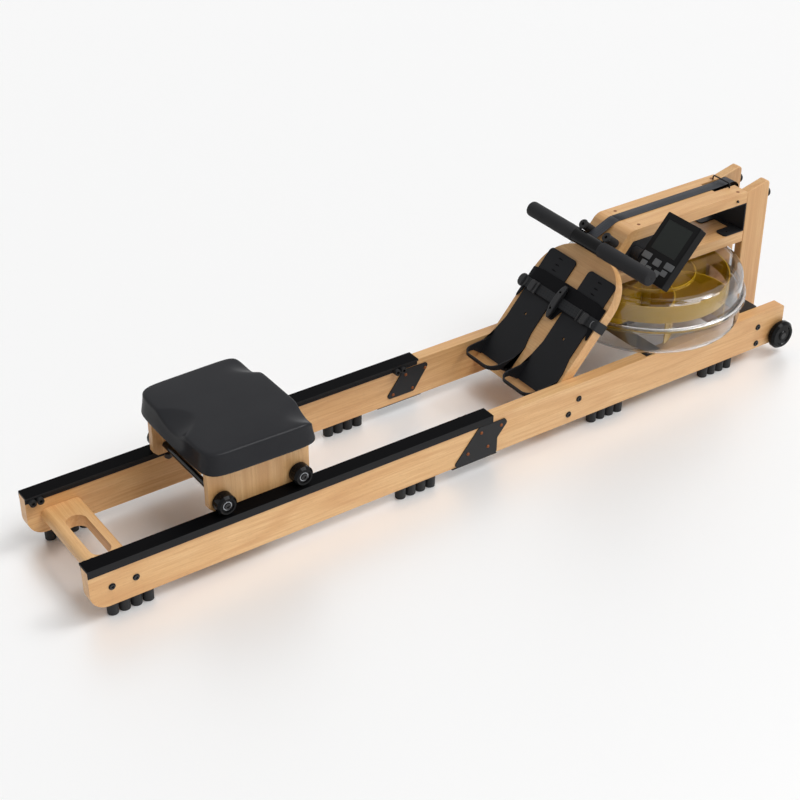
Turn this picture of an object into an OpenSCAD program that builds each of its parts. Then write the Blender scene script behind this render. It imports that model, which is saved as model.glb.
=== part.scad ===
// Water rowing machine: two wooden rails, a seat that rolls on them, a footboard
// that folds over into a top board, and a clear water tank with an impeller.
// X runs from the seat end to the tank end, Y to the rower's left, Z up.

/* [Rails] */
// Length of each whole rail, seat end to tank end
rail_length = 2076; // [1900:1:2200]
// Height of the rail boards
rail_height = 107; // [95:1:120]
// Thickness of the rail boards
rail_thick = 32; // [26:1:36]
// Clear width between the two rails
rail_gap = 294; // [280:1:310]
// How far the joint of a rail's two halves lies before the footboard
joint_before_board = 266.7; // [250:0.1:290]
// Radius of the lower corner at the seat end
rail_toe_r = 45; // [20:1:60]
// Radius of the top corner at the tank end
rail_heel_r = 10; // [4:1:20]

/* [Feet] */
// Height of the rubber feet
foot_height = 33; // [25:1:40]
// Radius of a foot where it meets the rail
foot_r = 14.1; // [10:0.1:15]
// Distance between the feet of one row
foot_pitch = 28.9; // [28:0.1:34]
// Feet in one row
feet_per_row = 4; // [2:1:5]

/* [Tracks] */
// How far the cap that the seat wheels roll on runs past the rail joint
track_past_joint = 29.5; // [20:0.5:40]
// Thickness of the cap above the rail
track_plate = 6; // [4:0.5:8]
// How far the cap hangs inward past the rail
track_lip = 7.5; // [5:0.5:9]
// How far the outer flange covers the rail
track_outer_drop = 14.6; // [8:0.1:20]
// How far the inner flange covers the rail
track_inner_drop = 13.3; // [8:0.1:16]
// Thickness of the cap's flanges
track_flange = 2; // [1.5:0.1:3]

/* [Seat] */
// Rest place of the seat along the rails
seat_x = 450; // [400:1:600]
// Distance between the front and rear seat wheels
wheel_base = 200; // [180:1:215]
// Radius of a seat wheel
seat_wheel_r = 25.5; // [22:0.5:28]
// Width of a seat wheel
seat_wheel_w = 30; // [24:1:32]
// Thickness of the carriage's side boards
side_thick = 18; // [15:1:20]
// Length of the carriage's side boards
side_length = 263; // [250:1:280]
// Height of the carriage's side boards
side_height = 112; // [100:1:118]
// Radius of a guide roller
roller_r = 10; // [8:0.5:11]
// Distance between the guide rollers of one side
roller_base = 180; // [150:1:190]
// Length of the cushion's top, front to back
pad_length = 284; // [275:1:290]
// Half width of the cushion at the back
pad_back_half = 172; // [165:1:180]
// Half width of the cushion at the front
pad_front_half = 179; // [175:1:190]
// Height of the cushion and its skirt
pad_height = 57; // [54:1:64]
// How far the skirt flares out below
pad_flare = 7; // [3:1:10]
// Rise of the cushion's middle over its edge
pad_crown = 3; // [2:0.5:6]

/* [Footboard] */
// Slope of the footboard above the floor
board_angle = 49; // [46:0.5:52]
// Thickness of the footboard
board_thick = 30; // [26:1:32]
// Clearance between the footboard and each rail
board_side_gap = 0.5; // [0.3:0.1:2]
// How far the footboard's face meets the rails' top before their tank end
board_before_end = 753.3; // [740:0.1:765]
// Radius of the shoulders that draw in to the neck
shoulder_r = 112; // [95:1:115]
// Length along the slope at which the straight sides end
side_run = 210; // [195:1:215]
// Half width of the neck and of the boards behind it
neck_half = 66; // [60:1:70]
// Height of the top board's upper face
top_z = 451.5; // [445:0.5:465]
// Rounding of the footboard's top end
hump_r = 34; // [28:1:40]
// Width of a footplate
plate_w = 105; // [95:1:106]
// Distance of a footplate's middle from the machine's middle
plate_y = 78; // [76:0.5:79]
// Length of a footplate above the heel line
plate_top = 278; // [265:1:280]
// Thickness of a footplate
plate_thick = 3.5; // [2.5:0.1:4]

/* [Top] */
// Thickness of the top board
top_thick = 31.5; // [28:0.5:34]
// Height of the deck board's upper face
deck_z = 337; // [334:0.5:342]
// Thickness of the deck board
deck_thick = 31; // [28:0.5:32]
// How far the uprights' front face is before the rails' tank end
upright_before_end = 74; // [71:0.5:81]
// Depth of an upright, front to back
upright_depth = 80; // [70:1:84]
// Thickness of an upright
upright_thick = 26.5; // [22:0.5:28]
// Height of the uprights' peak
upright_peak = 466.5; // [460:0.5:480]

/* [Handle] */
// Whole length of the handle
handle_length = 469; // [440:1:490]
// Radius of the handle's grips
grip_r = 20.5; // [17:0.5:21]
// Half length of the bare middle of the handle
handle_bare_half = 50; // [46:1:60]
// Distance of each peg from the machine's middle
peg_y = 45.4; // [44:0.1:50]
// Radius of a peg
peg_r = 11.5; // [9:0.5:12]
// How far a peg stands out of the board
peg_length = 44; // [40:1:50]

/* [Belt] */
// Width of the belt
belt_w = 33; // [28:1:34]
// Thickness of the belt
belt_t = 2.2; // [1.6:0.1:3]
// Distance of the belt's middle from the machine's middle
belt_y = 11.5; // [9:0.5:13]
// Radius of the rear pulley
pulley_r = 22; // [18:0.5:23]
// Radius of the belt wound on the drum
winding_r = 33; // [30:0.5:36]

/* [Tank] */
// Distance of the tank's middle before the uprights
tank_before_upright = 264; // [260:1:268]
// How far the tank's flange stands out of its wall
tank_flange_w = 11; // [8:0.5:12]
// Outer radius of the tank's wall
tank_r = 244; // [235:1:246]
// Thickness of the tank's wall
tank_wall = 4; // [3:0.5:6]
// Height of the seam between the two halves
tank_seam_z = 222; // [215:1:228]
// Rounding of the tank's shoulder
tank_round = 30; // [20:1:36]
// Radius of the impeller's outer ring
impeller_r = 209; // [190:1:215]
// Number of paddles
paddles = 6; // [4:1:8]
// Radius of the impeller's shaft
shaft_r = 8; // [6:0.5:9]

/* [Monitor] */
// Width of the monitor
monitor_w = 119; // [110:1:121]
// Length of the monitor's face
monitor_h = 177; // [165:1:180]
// Thickness of the monitor
monitor_d = 26.7; // [24:0.1:30]
// Slope of the monitor's face at rest
monitor_angle = 48.4; // [40:0.1:60]
// Height of the tilt pivot
pivot_z = 387.5; // [384:0.5:392]
// Distance of the tilt pivot behind the footboard's foot
pivot_behind_board = 289.8; // [284:0.1:296]
// Radius of the tilt boss
boss_r = 17; // [13:0.5:18]
// Length of the tilt boss
boss_length = 30.7; // [27:0.1:33]

/* [Transport wheels] */
// Radius of a transport wheel
cart_wheel_r = 39.5; // [36:0.5:42]
// Width of a transport wheel
cart_wheel_w = 22; // [18:1:24]
// Distance of the transport axle before the rails' tank end
cart_before_end = 15; // [12:0.5:20]
// Height of the transport axle
cart_z = 57; // [52:0.5:62]

/* [Clearances] */
// Gap between neighbours that don't touch
seat_gap = 0.3; // [0.2:0.05:0.4]
// Radial play of a wheel on its axle
run_gap = 0.05; // [0.02:0.01:0.08]

/* [Hidden] */
$fn = 64;

// Places along the machine, all taken from the rails' tank end
board_foot_x = rail_length - board_before_end;
rail_joint_x = board_foot_x - joint_before_board;
track_length = rail_joint_x + track_past_joint;
upright_x = rail_length - upright_before_end;
tank_x = upright_x - tank_before_upright;
pivot_x = board_foot_x + pivot_behind_board;
cart_x = rail_length - cart_before_end;
tank_flange_r = tank_r + tank_flange_w;

rail_z = foot_height;
rail_top = rail_z + rail_height;
rail_in = rail_gap / 2;
rail_out = rail_in + rail_thick;
track_top = rail_top + track_plate;
top_under = top_z - top_thick;
deck_under = deck_z - deck_thick;
upright_back = upright_x + upright_depth;
upright_in = neck_half - upright_thick;
bumper_out = 11;
whole_length = max(cart_x + cart_wheel_r, upright_back + bumper_out);
function left(side) = side == "left" ? 1 : -1;

// Frame bolts: places of the black socket heads on the rails' outer faces
bolt_r = 4;
bolt_reach = 24;
head_r = 6.5;
head_h = 3;
foot_rows = [55.9, rail_joint_x - 234.3, board_foot_x + 95.2, rail_length - 271.1];
crossbar_bolts = [[53.6, 83.2], [111.9, 83.2]];
cleat_bolts = [[-10.6, -56.5], [-58.7, -56.5]];
crossboard_bolts = [[upright_x - 19.4, 98.6], [upright_x - 19.4, 48.3]];
stud_x = upright_x - 35.4;
stud_z = top_z - 18.5;
stud_r = 4;

// Splice plates
splice_t = 2.3;
splice_wrap = 32;
splice_r = 8;
sole_back = 93;
sole_length = 135;
splice_outer = [[rail_joint_x - sole_back, 0], [rail_joint_x - 14, 92], [rail_joint_x + 66, 92],
                [rail_joint_x + 73, 79], [rail_joint_x + 43, 44], [rail_joint_x + 42, 0]];
splice_inner = [[rail_joint_x - 71, 18], [rail_joint_x + 19, 18], [rail_joint_x + 69, 91],
                [rail_joint_x - 14, 91]];
splice_holes = [[54, 76], [-6.5, 75], [14.6, 28], [-46, 28]];
screw_r = 2.5;
screw_head_r = 4.5;
screw_head_h = 2;
screw_sink = 1;
top_screws = [[board_foot_x + 315.3, 46], [upright_x - 22.5, 51]];

// Seat-end crossbar
bar_z = 83;
bar_t = 32;
bar_x0 = 33;
bar_x1 = 135;
slot_x0 = 60;
slot_x1 = 109;
slot_half = 84;

// Seat carriage
side_in = rail_in - 22;
side_bottom = track_top + 2;
side_top = side_bottom + side_height;
side_chamfer = 11;
seat_wheel_in = side_in + side_thick + 2;
seat_wheel_z = track_top + seat_wheel_r + seat_gap;
axle_r = 5;
roller_h = 12;
roller_z = rail_top - track_inner_drop;
inner_flange_y = rail_in - track_flange;
roller_y = inner_flange_y - roller_r - seat_gap;
roller_axle_r = 3;
roller_grip = 12;
wheel_hub_r = 12;
wheel_recess = 7;
tray_t = 12;
tray_side = 15;
pad_z = side_top + seat_gap;
pad_wall = 7;
pad_well = tray_t;
pad_sides = 72;
pad_square = 8;
tail_relief = 20;
tail_reach = 58;
tail_half = 68;
thigh_relief = 24;
thigh_reach = 54;
thigh_half = 52;
thigh_y = 129;
// Rings of the cushion from the middle out: share, drop below the edge, extra width
pad_rings = [
    [0.25, 0, 0], [0.5, 0, 0], [0.7, 0, 0], [0.84, 0, 0], [0.94, 0.3, 0], [0.983, 1.2, 0], [1, 4, 0],
    [1, 16, 0.5], [1, 28, pad_flare * 0.3], [1, 40, pad_flare * 0.6], [1, pad_height - pad_crown, pad_flare]
];

// Track end stops
stop_r = 8.5;
stop_in = 131;
stop_z = rail_top - stop_r - seat_gap;
stop_pitch = 18.6;
stop_back_x = 14.6;
stop_front_x = rail_joint_x - 39.2;

// Footboard, in its own frame: x up the slope, z out of the face
board_half = rail_in - board_side_gap;
board_low = -80;
neck_run = (top_z - rail_top) / sin(board_angle);
board_rear_dx = board_thick / sin(board_angle);
function face_x(z) = board_foot_x + (z - rail_top) / tan(board_angle);
hump_cx = face_x(top_z - hump_r) + hump_r / sin(board_angle);
hump_cz = top_z - hump_r;
joint_x = hump_cx + 12;
joint_slant = 14;
cleat_low = -69;
cleat_high = 14;
cleat_t = 46;
cleat_screws = [[-40, 60], [-40, 120]];

// Footplates and heel loops
heel_half = 61;
heel_reach = 100;
heel_wall = 3.5;
heel_r = 30;
plate_low = -55;
plate_r = 12;
band_low = 117;
band_high = 217;
band_lift = 5;
band_t = 3;
strap_s = 153;
strap_w = 27;
strap_t = 2;
strap_out = board_half + 5;
band_top = band_lift + band_t;
strap_over = band_top + seat_gap;
strap_under = board_thick + seat_gap;
buckle_y = 112;
buckle_length = 26;
buckle_t = 4;
buckle_bar_w = 5;
buckle_bar_h = 9;
knob_r = 9;
knob_y = strap_out + 2;
knob_o = 5;
plate_slots = [228, 244, 262];
slot_w = 2.8;
slot_run = 15;
block_low = 120;
block_high = 211;
block_half = 8;
block_top = 21;
block_taper = 20;
block_holes = [141.1, 189.6];

// Handle at rest against the underside of the pegs
peg_s = 367;
handle_s = peg_s - peg_r - grip_r - seat_gap;
handle_o = 36;
function slope_x(s, o) = board_foot_x + s * cos(board_angle) - o * sin(board_angle);
function slope_z(s, o) = rail_top + s * sin(board_angle) + o * cos(board_angle);
handle_x = slope_x(handle_s, handle_o);
handle_z = slope_z(handle_s, handle_o);
handle_core_r = grip_r - 4;
handle_mouth = 12;
grip_span = handle_length / 2 - handle_bare_half - seat_gap;

// Belt route round the hump, over the rear pulley and back to the drum
belt_ride = belt_t / 2 + seat_gap;
pulley_x = upright_x + 1;
pulley_z = top_z - pulley_r + 3;
pulley_w = belt_w + 3;
hump_run = hump_r + belt_ride;
to_hump = norm([hump_cx - handle_x, hump_cz - handle_z]);
belt_rise = atan2(hump_cz - handle_z, hump_cx - handle_x) + asin(hump_run / to_hump);
pulley_run = pulley_r + belt_ride;
pulley_axle_r = 5;
pulley_lead = 50;
lead_step = pulley_z + pulley_run - top_z - belt_ride;
lead_rise = atan(lead_step / pulley_lead);
drum_z = (deck_z + top_under) / 2 + 17;
drum_core_r = winding_r - 3 * belt_t;
drum_rim_r = winding_r + 5;
drum_rim_t = 3;
drum_low = drum_z - belt_w / 2 - 1 - drum_rim_t;
belt_turn_steps = 12;

// Openings cut for the belt
notch_x = upright_x - 72;
notch_half = belt_w / 2 + 10;
cheek_t = 2.5;
cheek_gap = pulley_w / 2 + 1;
bail_r = 2;
bail_half = notch_half + bail_r + 3;
bail_x = pulley_x - 25;
bail_top = top_z + 13;

// Tank
cradle_t = 3;
cradle_w = 50;
cradle_x = tank_x - 154;
cradle_over = 27;
tank_floor = rail_top + cradle_t + seat_gap;
tank_top = deck_under - 4;
tank_flange_t = 5;
neck_r = 26;
hub_r = 26;
shaft_low = tank_floor + tank_wall + 1;
paddle_r = 130;
paddle_t = 3;
paddle_low = tank_floor + 22;
paddle_high = tank_seam_z + 44;
ring_low = tank_seam_z + 4;
ring_high = tank_seam_z + 50;
ring_t = 3;
inner_ring_r = 120;
bearing_r = 20;

// Monitor, in its own frame: x up the face, z out of it, origin at the pivot
face_out = monitor_d / 2;
face_low = -45;
mount_t = 3;
mount_flange = 36;
mount_high = top_under - seat_gap;
mount_low = pivot_z - 32;
mount_back = pivot_x + 62;
function mount_x(z) = face_x(z) + board_rear_dx + seat_gap;
monitor_y0 = -(neck_half + boss_length + seat_gap);
pivot_pin_r = 6;
pivot_pin_in = 14;
pocket_depth = 6;
button_sink = 4;
button_rise = 2;
screen_u0 = 17;
screen_u1 = 101;
screen_v = 44;
screen_sink = 1;
// Buttons: middle across and down the face, then width and length
button_table = [
    ["button_menu", 43, 122, 29, 17], ["button_select", 2, 127, 23, 18],
    ["button_back", -39, 122, 29, 17],
    ["button_time", 39, 142.5, 18.5, 15], ["button_distance", 19, 151.5, 18.5, 15],
    ["button_count", -13, 151.5, 18.5, 15], ["button_reset", -34.5, 143, 18.5, 15]
];

// Rear end
rear_plate_t = 3;
crossboard_front = upright_x - 38.3;
crossboard_low = rail_z + 4;
upright_low = rail_z + 6;
upright_slope = 16;
buffer_z = top_z - 26;
buffer_r = 13.5;
cart_wheel_in = rail_out + 2.5;
cart_wheel_out = cart_wheel_in + cart_wheel_w;
cart_recess = 6;
cart_head_r = 9;

// Plain helpers

module place() translate([-whole_length / 2, 0, 0]) children();
module both_sides() for (s = [1, -1]) scale([1, s, 1]) children();
module for_side(side) if (side == "left") children(); else mirror([0, 1, 0]) children();

// An X-Z outline, extruded from y0 to y1
module slab(y0, y1) translate([0, y1, 0]) rotate([90, 0, 0]) linear_extrude(y1 - y0) children();

// A rod along Y from y0 to y1
module rod(x, z, r, y0, y1) translate([x, y0, z]) rotate([-90, 0, 0]) cylinder(r = r, h = y1 - y0);

module ring(r_out, r_in, h) difference() {
    cylinder(r = r_out, h = h);
    translate([0, 0, -1]) cylinder(r = r_in, h = h + 2);
}

// A rectangle with true round corners, middle at the origin
module round_rect(w, h, r) {
    square([w - 2 * r, h], center = true);
    square([w, h - 2 * r], center = true);
    for (i = [-1, 1], j = [-1, 1]) translate([i * (w / 2 - r), j * (h / 2 - r)]) circle(r);
}

// Points of an outline with each corner rounded to radius r, or to its own radius in a list
function unit(v) = v / norm(v);
function corner_arc(a, b, c, r, steps) = let (
    u = unit(a - b), v = unit(c - b), half = acos(u * v) / 2,
    reach = r / tan(half), middle = b + unit(u + v) * r / sin(half),
    from = unit(b + u * reach - middle), to = unit(b + v * reach - middle)
) [for (i = [0:steps]) middle + r * unit(from * (steps - i) + to * i)];
function rounded(points, r, steps = 6) = let (n = len(points)) [
    for (i = [0:n - 1]) let (own = is_list(r) ? r[i] : r)
        each own == 0 ? [points[i]]
            : corner_arc(points[(i + n - 1) % n], points[i], points[(i + 1) % n], own, steps)
];

module board_frame() translate([board_foot_x, 0, rail_top]) rotate([0, -board_angle, 0]) children();
module monitor_frame() translate([pivot_x, 0, pivot_z]) rotate([0, -monitor_angle, 0]) children();

// Rails

module rail_outline() difference() {
    square([rail_length, rail_height]);
    difference() {
        translate([-1, -1]) square([rail_toe_r + 1, rail_toe_r + 1]);
        translate([rail_toe_r, rail_toe_r]) circle(rail_toe_r);
    }
    difference() {
        translate([rail_length - rail_heel_r, rail_height - rail_heel_r])
            square([rail_heel_r + 1, rail_heel_r + 1]);
        translate([rail_length - rail_heel_r, rail_height - rail_heel_r]) circle(rail_heel_r);
    }
}

module bolt_bores() {
    for (b = concat(crossbar_bolts, crossboard_bolts))
        rod(b[0], b[1], bolt_r + seat_gap, rail_in - 1, rail_out + 1);
    for (b = cleat_bolts)
        rod(slope_x(b[0], b[1]), slope_z(b[0], b[1]), bolt_r + seat_gap, rail_in - 1, rail_out + 1);
    rod(cart_x, cart_z, axle_r + seat_gap, rail_in - 1, rail_out + 1);
}

module rail(side, x0, x1) color("burlywood") place() for_side(side) difference() {
    intersection() {
        translate([0, 0, rail_z]) slab(rail_in, rail_out) rail_outline();
        translate([x0, 0, 0]) cube([x1 - x0, rail_out + 1, rail_top + 1]);
    }
    bolt_bores();
    splice_screw_bores();
}

module splice_screw_bores() for (h = splice_holes)
    rod(rail_joint_x + h[0], rail_z + h[1], screw_r + seat_gap / 2, rail_in - 1, rail_out + 1);

module rail_front(side) rail(side, 0, rail_joint_x - seat_gap / 2);
module rail_rear(side) rail(side, rail_joint_x + seat_gap / 2, rail_length);

module track(side) color("black") place() for_side(side) {
    translate([0, rail_in - track_lip, rail_top])
        cube([track_length, track_lip + rail_thick + track_flange, track_plate]);
    translate([0, rail_out, rail_top - track_outer_drop])
        cube([track_length, track_flange, track_outer_drop]);
    translate([0, inner_flange_y, rail_top - track_inner_drop])
        cube([track_length, track_flange, track_inner_drop]);
}

module splice_plates() color("black") place() both_sides() {
    difference() {
        union() {
            translate([0, 0, rail_z]) slab(rail_out, rail_out + splice_t)
                polygon(rounded(splice_outer, splice_r));
            translate([rail_joint_x - sole_back, rail_out - splice_wrap, rail_z - splice_t])
                cube([sole_length, splice_wrap + splice_t, splice_t]);
        }
        splice_screw_holes(rail_out - 1);
    }
    difference() {
        translate([0, 0, rail_z]) slab(rail_in - splice_t, rail_in)
            polygon(rounded(splice_inner, splice_r));
        splice_screw_holes(rail_in - splice_t - 1);
    }
}

module splice_screw_holes(y) for (h = splice_holes)
    rod(rail_joint_x + h[0], rail_z + h[1], screw_r + seat_gap / 2, y, y + splice_t + 2);

module screw_head(r, h) rotate_extrude() polygon([[0, 0], [r, 0], [r * 0.7, h], [0, h]]);

// Copper screws: four through each splice plate, inside and out, and four down the top board
module wood_screws() color("peru") place() both_sides() {
    for (h = splice_holes) translate([rail_joint_x + h[0], 0, rail_z + h[1]]) {
        rod(0, 0, screw_r, rail_in - splice_t, rail_out + splice_t);
        translate([0, rail_out + splice_t, 0]) rotate([-90, 0, 0])
            screw_head(screw_head_r, screw_head_h);
        translate([0, rail_in - splice_t, 0]) rotate([90, 0, 0])
            screw_head(screw_head_r, screw_head_h);
    }
    for (p = top_screws) translate([p[0], p[1], 0]) {
        translate([0, 0, top_z - screw_sink]) cylinder(r = screw_head_r, h = screw_sink);
        translate([0, 0, top_under + 2]) cylinder(r = screw_r, h = top_thick - 3);
    }
}

// Seat-end crossbar: a board with rounded long edges and a hand slot
module seat_crossbar() color("burlywood") place() difference() {
    slab(-rail_in + seat_gap, rail_in - seat_gap) translate([(bar_x0 + bar_x1) / 2, bar_z])
        round_rect(bar_x1 - bar_x0, bar_t, bar_t / 2 - 0.5);
    translate([(slot_x0 + slot_x1) / 2, 0, bar_z - bar_t]) linear_extrude(2 * bar_t)
        round_rect(slot_x1 - slot_x0, 2 * slot_half, (slot_x1 - slot_x0) / 2 - 0.5);
    both_sides() for (b = crossbar_bolts)
        rod(b[0], b[1], bolt_r + seat_gap, rail_in - bolt_reach - 1, rail_in + 1);
}

module socket_bolt(x, z, y_in) {
    rod(x, z, bolt_r, y_in, rail_out + seat_gap);
    difference() {
        rod(x, z, head_r, rail_out + seat_gap, rail_out + seat_gap + head_h);
        translate([x, rail_out + seat_gap + head_h - 2, z]) rotate([-90, 0, 0])
            cylinder(r = head_r / 2, h = 3, $fn = 6);
    }
}

// Black socket-head bolts through the rails, the transport wheels' axle bolts,
// and a stud in the top board's near edge
module frame_bolts() color("dimgray") place() {
    both_sides() {
        for (b = concat(crossbar_bolts, crossboard_bolts)) socket_bolt(b[0], b[1], rail_in - bolt_reach);
        for (b = cleat_bolts)
            socket_bolt(slope_x(b[0], b[1]), slope_z(b[0], b[1]), rail_in - bolt_reach);
        rod(cart_x, cart_z, axle_r, rail_in - 12, cart_wheel_out + 1);
        rod(cart_x, cart_z, axle_r + 6, rail_in - 6, rail_in - seat_gap);
        difference() {
            rod(cart_x, cart_z, cart_head_r, cart_wheel_out - cart_recess + seat_gap, cart_wheel_out + 1);
            translate([cart_x, cart_wheel_out - 1.5, cart_z]) rotate([-90, 0, 0])
                cylinder(r = cart_head_r / 2, h = 3, $fn = 6);
        }
    }
    rod(stud_x, stud_z, stud_r - 1, -neck_half - 1, -neck_half + 10);
    translate([stud_x, -neck_half - seat_gap, stud_z]) rotate([90, 0, 0]) screw_head(stud_r, stud_r);
}

// Rubber feet in rows of four under both rails
module rubber_feet() color("black") place() both_sides()
    for (row = foot_rows, i = [0:feet_per_row - 1])
        translate([row + i * foot_pitch, rail_in + rail_thick / 2, 0])
            cylinder(r1 = foot_r - 1, r2 = foot_r, h = foot_height - seat_gap);

module bumper(x, z, y_out) difference() {
    rod(x, z, stop_r, stop_in, y_out);
    rod(x, z, stop_r / 2, stop_in - 1, stop_in + 7);
}

module handle_peg(s) translate([s, peg_y, seat_gap]) difference() {
    rotate_extrude() polygon([
        [0, 0], [peg_r, 0], [peg_r, peg_length - 9], [peg_r + 2, peg_length - 3],
        [peg_r + 0.5, peg_length], [0, peg_length]
    ]);
    translate([0, 0, peg_length - 10]) cylinder(r = 4.5, h = 11);
}

// Rubber bumpers: seat stops on the rails, handle pegs on the board, and buffers to stand on
module rubber_bumpers() color("black") place() both_sides() {
    for (x = [stop_back_x, stop_back_x + stop_pitch, stop_front_x, stop_front_x + stop_pitch])
        bumper(x, stop_z, rail_in - max(track_flange, splice_t) - seat_gap);
    board_frame() handle_peg(peg_s);
    translate([upright_back + seat_gap, (upright_in + neck_half) / 2, buffer_z]) rotate([0, 90, 0])
        rotate_extrude() polygon([
            [0, 0], [buffer_r, 0], [buffer_r, bumper_out - 6], [buffer_r - 3, bumper_out - 2],
            [buffer_r - 7, bumper_out - seat_gap], [0, bumper_out - seat_gap]
        ]);
}

// Seat

// Half width of the cushion at a distance along it, -1 at the back to 1 at the front
function pad_half(t) = (pad_back_half + pad_front_half) / 2 + t * (pad_front_half - pad_back_half) / 2;
// The cushion's edge at an angle: a rounded oblong that is wider at the front
function pad_edge(a) = let (
    c = cos(a), s = sin(a), k = pow(pow(abs(c), pad_square) + pow(abs(s), pad_square), -1 / pad_square)
) [k * c * pad_length / 2, k * s * pad_half(k * c)];
// Depth of a scoop in the top's edge: none inside its curved border, then a steady slope outward
function scoop(inset, y, reach, half, depth) = depth * max(0, 1 - inset / reach - pow(y / half, 2));
// Height of the top over its edge at a share u of the way from the middle out
function pad_rise(u, p) = pad_crown * (1 - pow(u, 4))
    - scoop(pad_length / 2 + p[0], p[1], tail_reach, tail_half, tail_relief)
    - scoop(pad_length / 2 - p[0], abs(p[1]) - thigh_y, thigh_reach, thigh_half, thigh_relief);
// One ring of the cushion: share out from the middle, drop below the edge, and extra width
function pad_ring(u, drop, grow) = [for (i = [0:pad_sides - 1]) let (
    e = pad_edge(i * 360 / pad_sides), p = e * u
) [p[0] + grow * unit(e)[0], p[1] + grow * unit(e)[1],
   pad_height - pad_crown - drop + pad_rise(u, p) * (1 - drop / (pad_height - pad_crown))]];
// One corner of the well: a ring's point moved in by the skirt's wall
function pad_inside(p, z) = let (m = unit([p[0], p[1]]))
    [p[0] - pad_wall * m[0], p[1] - pad_wall * m[1], z];

module seat_cushion() color("dimgray") place() translate([seat_x, 0, pad_z]) {
    rings = [for (r = pad_rings) pad_ring(r[0], r[1], r[2])];
    last = len(rings) - 1;
    inner = [for (p = rings[last]) pad_inside(p, p[2])];
    roof = [for (p = rings[last]) pad_inside(p, pad_well)];
    all = concat(rings, [inner, roof]);
    n = pad_sides;
    top = len(all) * n;
    under = (len(all) - 1) * n;
    polyhedron(
        points = concat([for (r = all) each r], [[0, 0, pad_height], [0, 0, pad_well]]),
        faces = concat(
            [for (k = [0:len(all) - 2], i = [0:n - 1])
                [k * n + i, k * n + (i + 1) % n, (k + 1) * n + i]],
            [for (k = [0:len(all) - 2], i = [0:n - 1])
                [k * n + (i + 1) % n, (k + 1) * n + (i + 1) % n, (k + 1) * n + i]],
            [for (i = [0:n - 1]) [top, (i + 1) % n, i]],
            [for (i = [0:n - 1]) [top + 1, under + i, under + (i + 1) % n]]
        )
    );
}

// Stiff pan between the cushion and the side boards
module seat_tray() color("black") place() translate([seat_x, 0, side_top + seat_gap / 2])
    linear_extrude(tray_t - seat_gap) round_rect(side_length - tray_side, 2 * (side_in + side_thick), 20);

module carriage_side(side) color("burlywood") place() for_side(side)
    translate([seat_x, 0, 0]) difference() {
    slab(side_in, side_in + side_thick) translate([0, side_bottom]) polygon([
        [-side_length / 2 + side_chamfer, 0], [side_length / 2 - side_chamfer, 0],
        [side_length / 2, side_chamfer], [side_length / 2, side_height],
        [-side_length / 2, side_height], [-side_length / 2, side_chamfer]
    ]);
    for (x = [-1, 1]) {
        rod(x * wheel_base / 2, seat_wheel_z, axle_r + seat_gap, side_in - 1, side_in + side_thick + 1);
        translate([x * roller_base / 2, roller_y, side_bottom - 1])
            cylinder(r = roller_axle_r + seat_gap, h = roller_grip + 2);
    }
}

// Steel rods of the carriage: two through axles in spacer tubes, and four roller bolts
module carriage_rods() color("silver") place() translate([seat_x, 0, 0]) {
    for (x = [-1, 1] * wheel_base / 2) {
        rod(x, seat_wheel_z, axle_r, -seat_wheel_in - seat_wheel_w + 2, seat_wheel_in + seat_wheel_w - 2);
        rod(x, seat_wheel_z, axle_r + 3, -side_in + seat_gap, side_in - seat_gap);
        for (s = [-1, 1]) scale([1, s, 1]) difference() {
            rod(x, seat_wheel_z, wheel_hub_r - 4, seat_wheel_in + seat_wheel_w - wheel_recess + seat_gap,
                seat_wheel_in + seat_wheel_w);
            translate([x, seat_wheel_in + seat_wheel_w - 2, seat_wheel_z]) rotate([-90, 0, 0])
                cylinder(r = 4, h = 3, $fn = 6);
        }
        for (s = [-1, 1]) scale([1, s, 1])
            rod(x, seat_wheel_z, axle_r + 3, side_in + side_thick + seat_gap, seat_wheel_in - seat_gap);
    }
    for (x = [-1, 1] * roller_base / 2, s = [-1, 1]) translate([x, s * roller_y, 0]) {
        translate([0, 0, roller_z - 3])
            cylinder(r = roller_axle_r, h = side_bottom + roller_grip - roller_z + 2.5);
        translate([0, 0, roller_z - 3]) cylinder(r = roller_r - 4, h = 3 - seat_gap);
        translate([0, 0, roller_z + roller_h + seat_gap])
            cylinder(r = roller_axle_r + 1, h = side_bottom - roller_z - roller_h - 2 * seat_gap);
    }
}

// A wheel with chamfered rims, a dished face and a hub ring, its axis along Y
module seat_wheel(end, side) color("black") place()
    translate([seat_x + end * wheel_base / 2, 0, seat_wheel_z]) for_side(side)
    translate([0, seat_wheel_in, 0]) rotate([-90, 0, 0]) rotate_extrude() polygon([
        [axle_r + run_gap, 0], [seat_wheel_r - 2, 0], [seat_wheel_r, 2],
        [seat_wheel_r, seat_wheel_w - 6], [seat_wheel_r - 5, seat_wheel_w],
        [wheel_hub_r + 4, seat_wheel_w], [wheel_hub_r + 3, seat_wheel_w - 3], [wheel_hub_r, seat_wheel_w - 3],
        [wheel_hub_r, seat_wheel_w - wheel_recess], [axle_r + run_gap, seat_wheel_w - wheel_recess]
    ]);

module guide_roller(end, side) color("dimgray") place()
    translate([seat_x + end * roller_base / 2, left(side) * roller_y, roller_z]) rotate_extrude() polygon([
        [roller_axle_r + run_gap, 0], [roller_r - 1, 0], [roller_r, 1],
        [roller_r, roller_h - 1], [roller_r - 1, roller_h], [roller_axle_r + run_gap, roller_h]
    ]);

// Footboard

// Face-on outline: straight sides, round shoulders and a narrow neck
module board_outline() {
    polygon(rounded([
        [board_low, -board_half], [side_run + shoulder_r, -board_half],
        [side_run + shoulder_r, board_half], [board_low, board_half]
    ], [0, shoulder_r, shoulder_r, 0], 24));
    translate([side_run, -neck_half]) square([neck_run, 2 * neck_half]);
}

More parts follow.
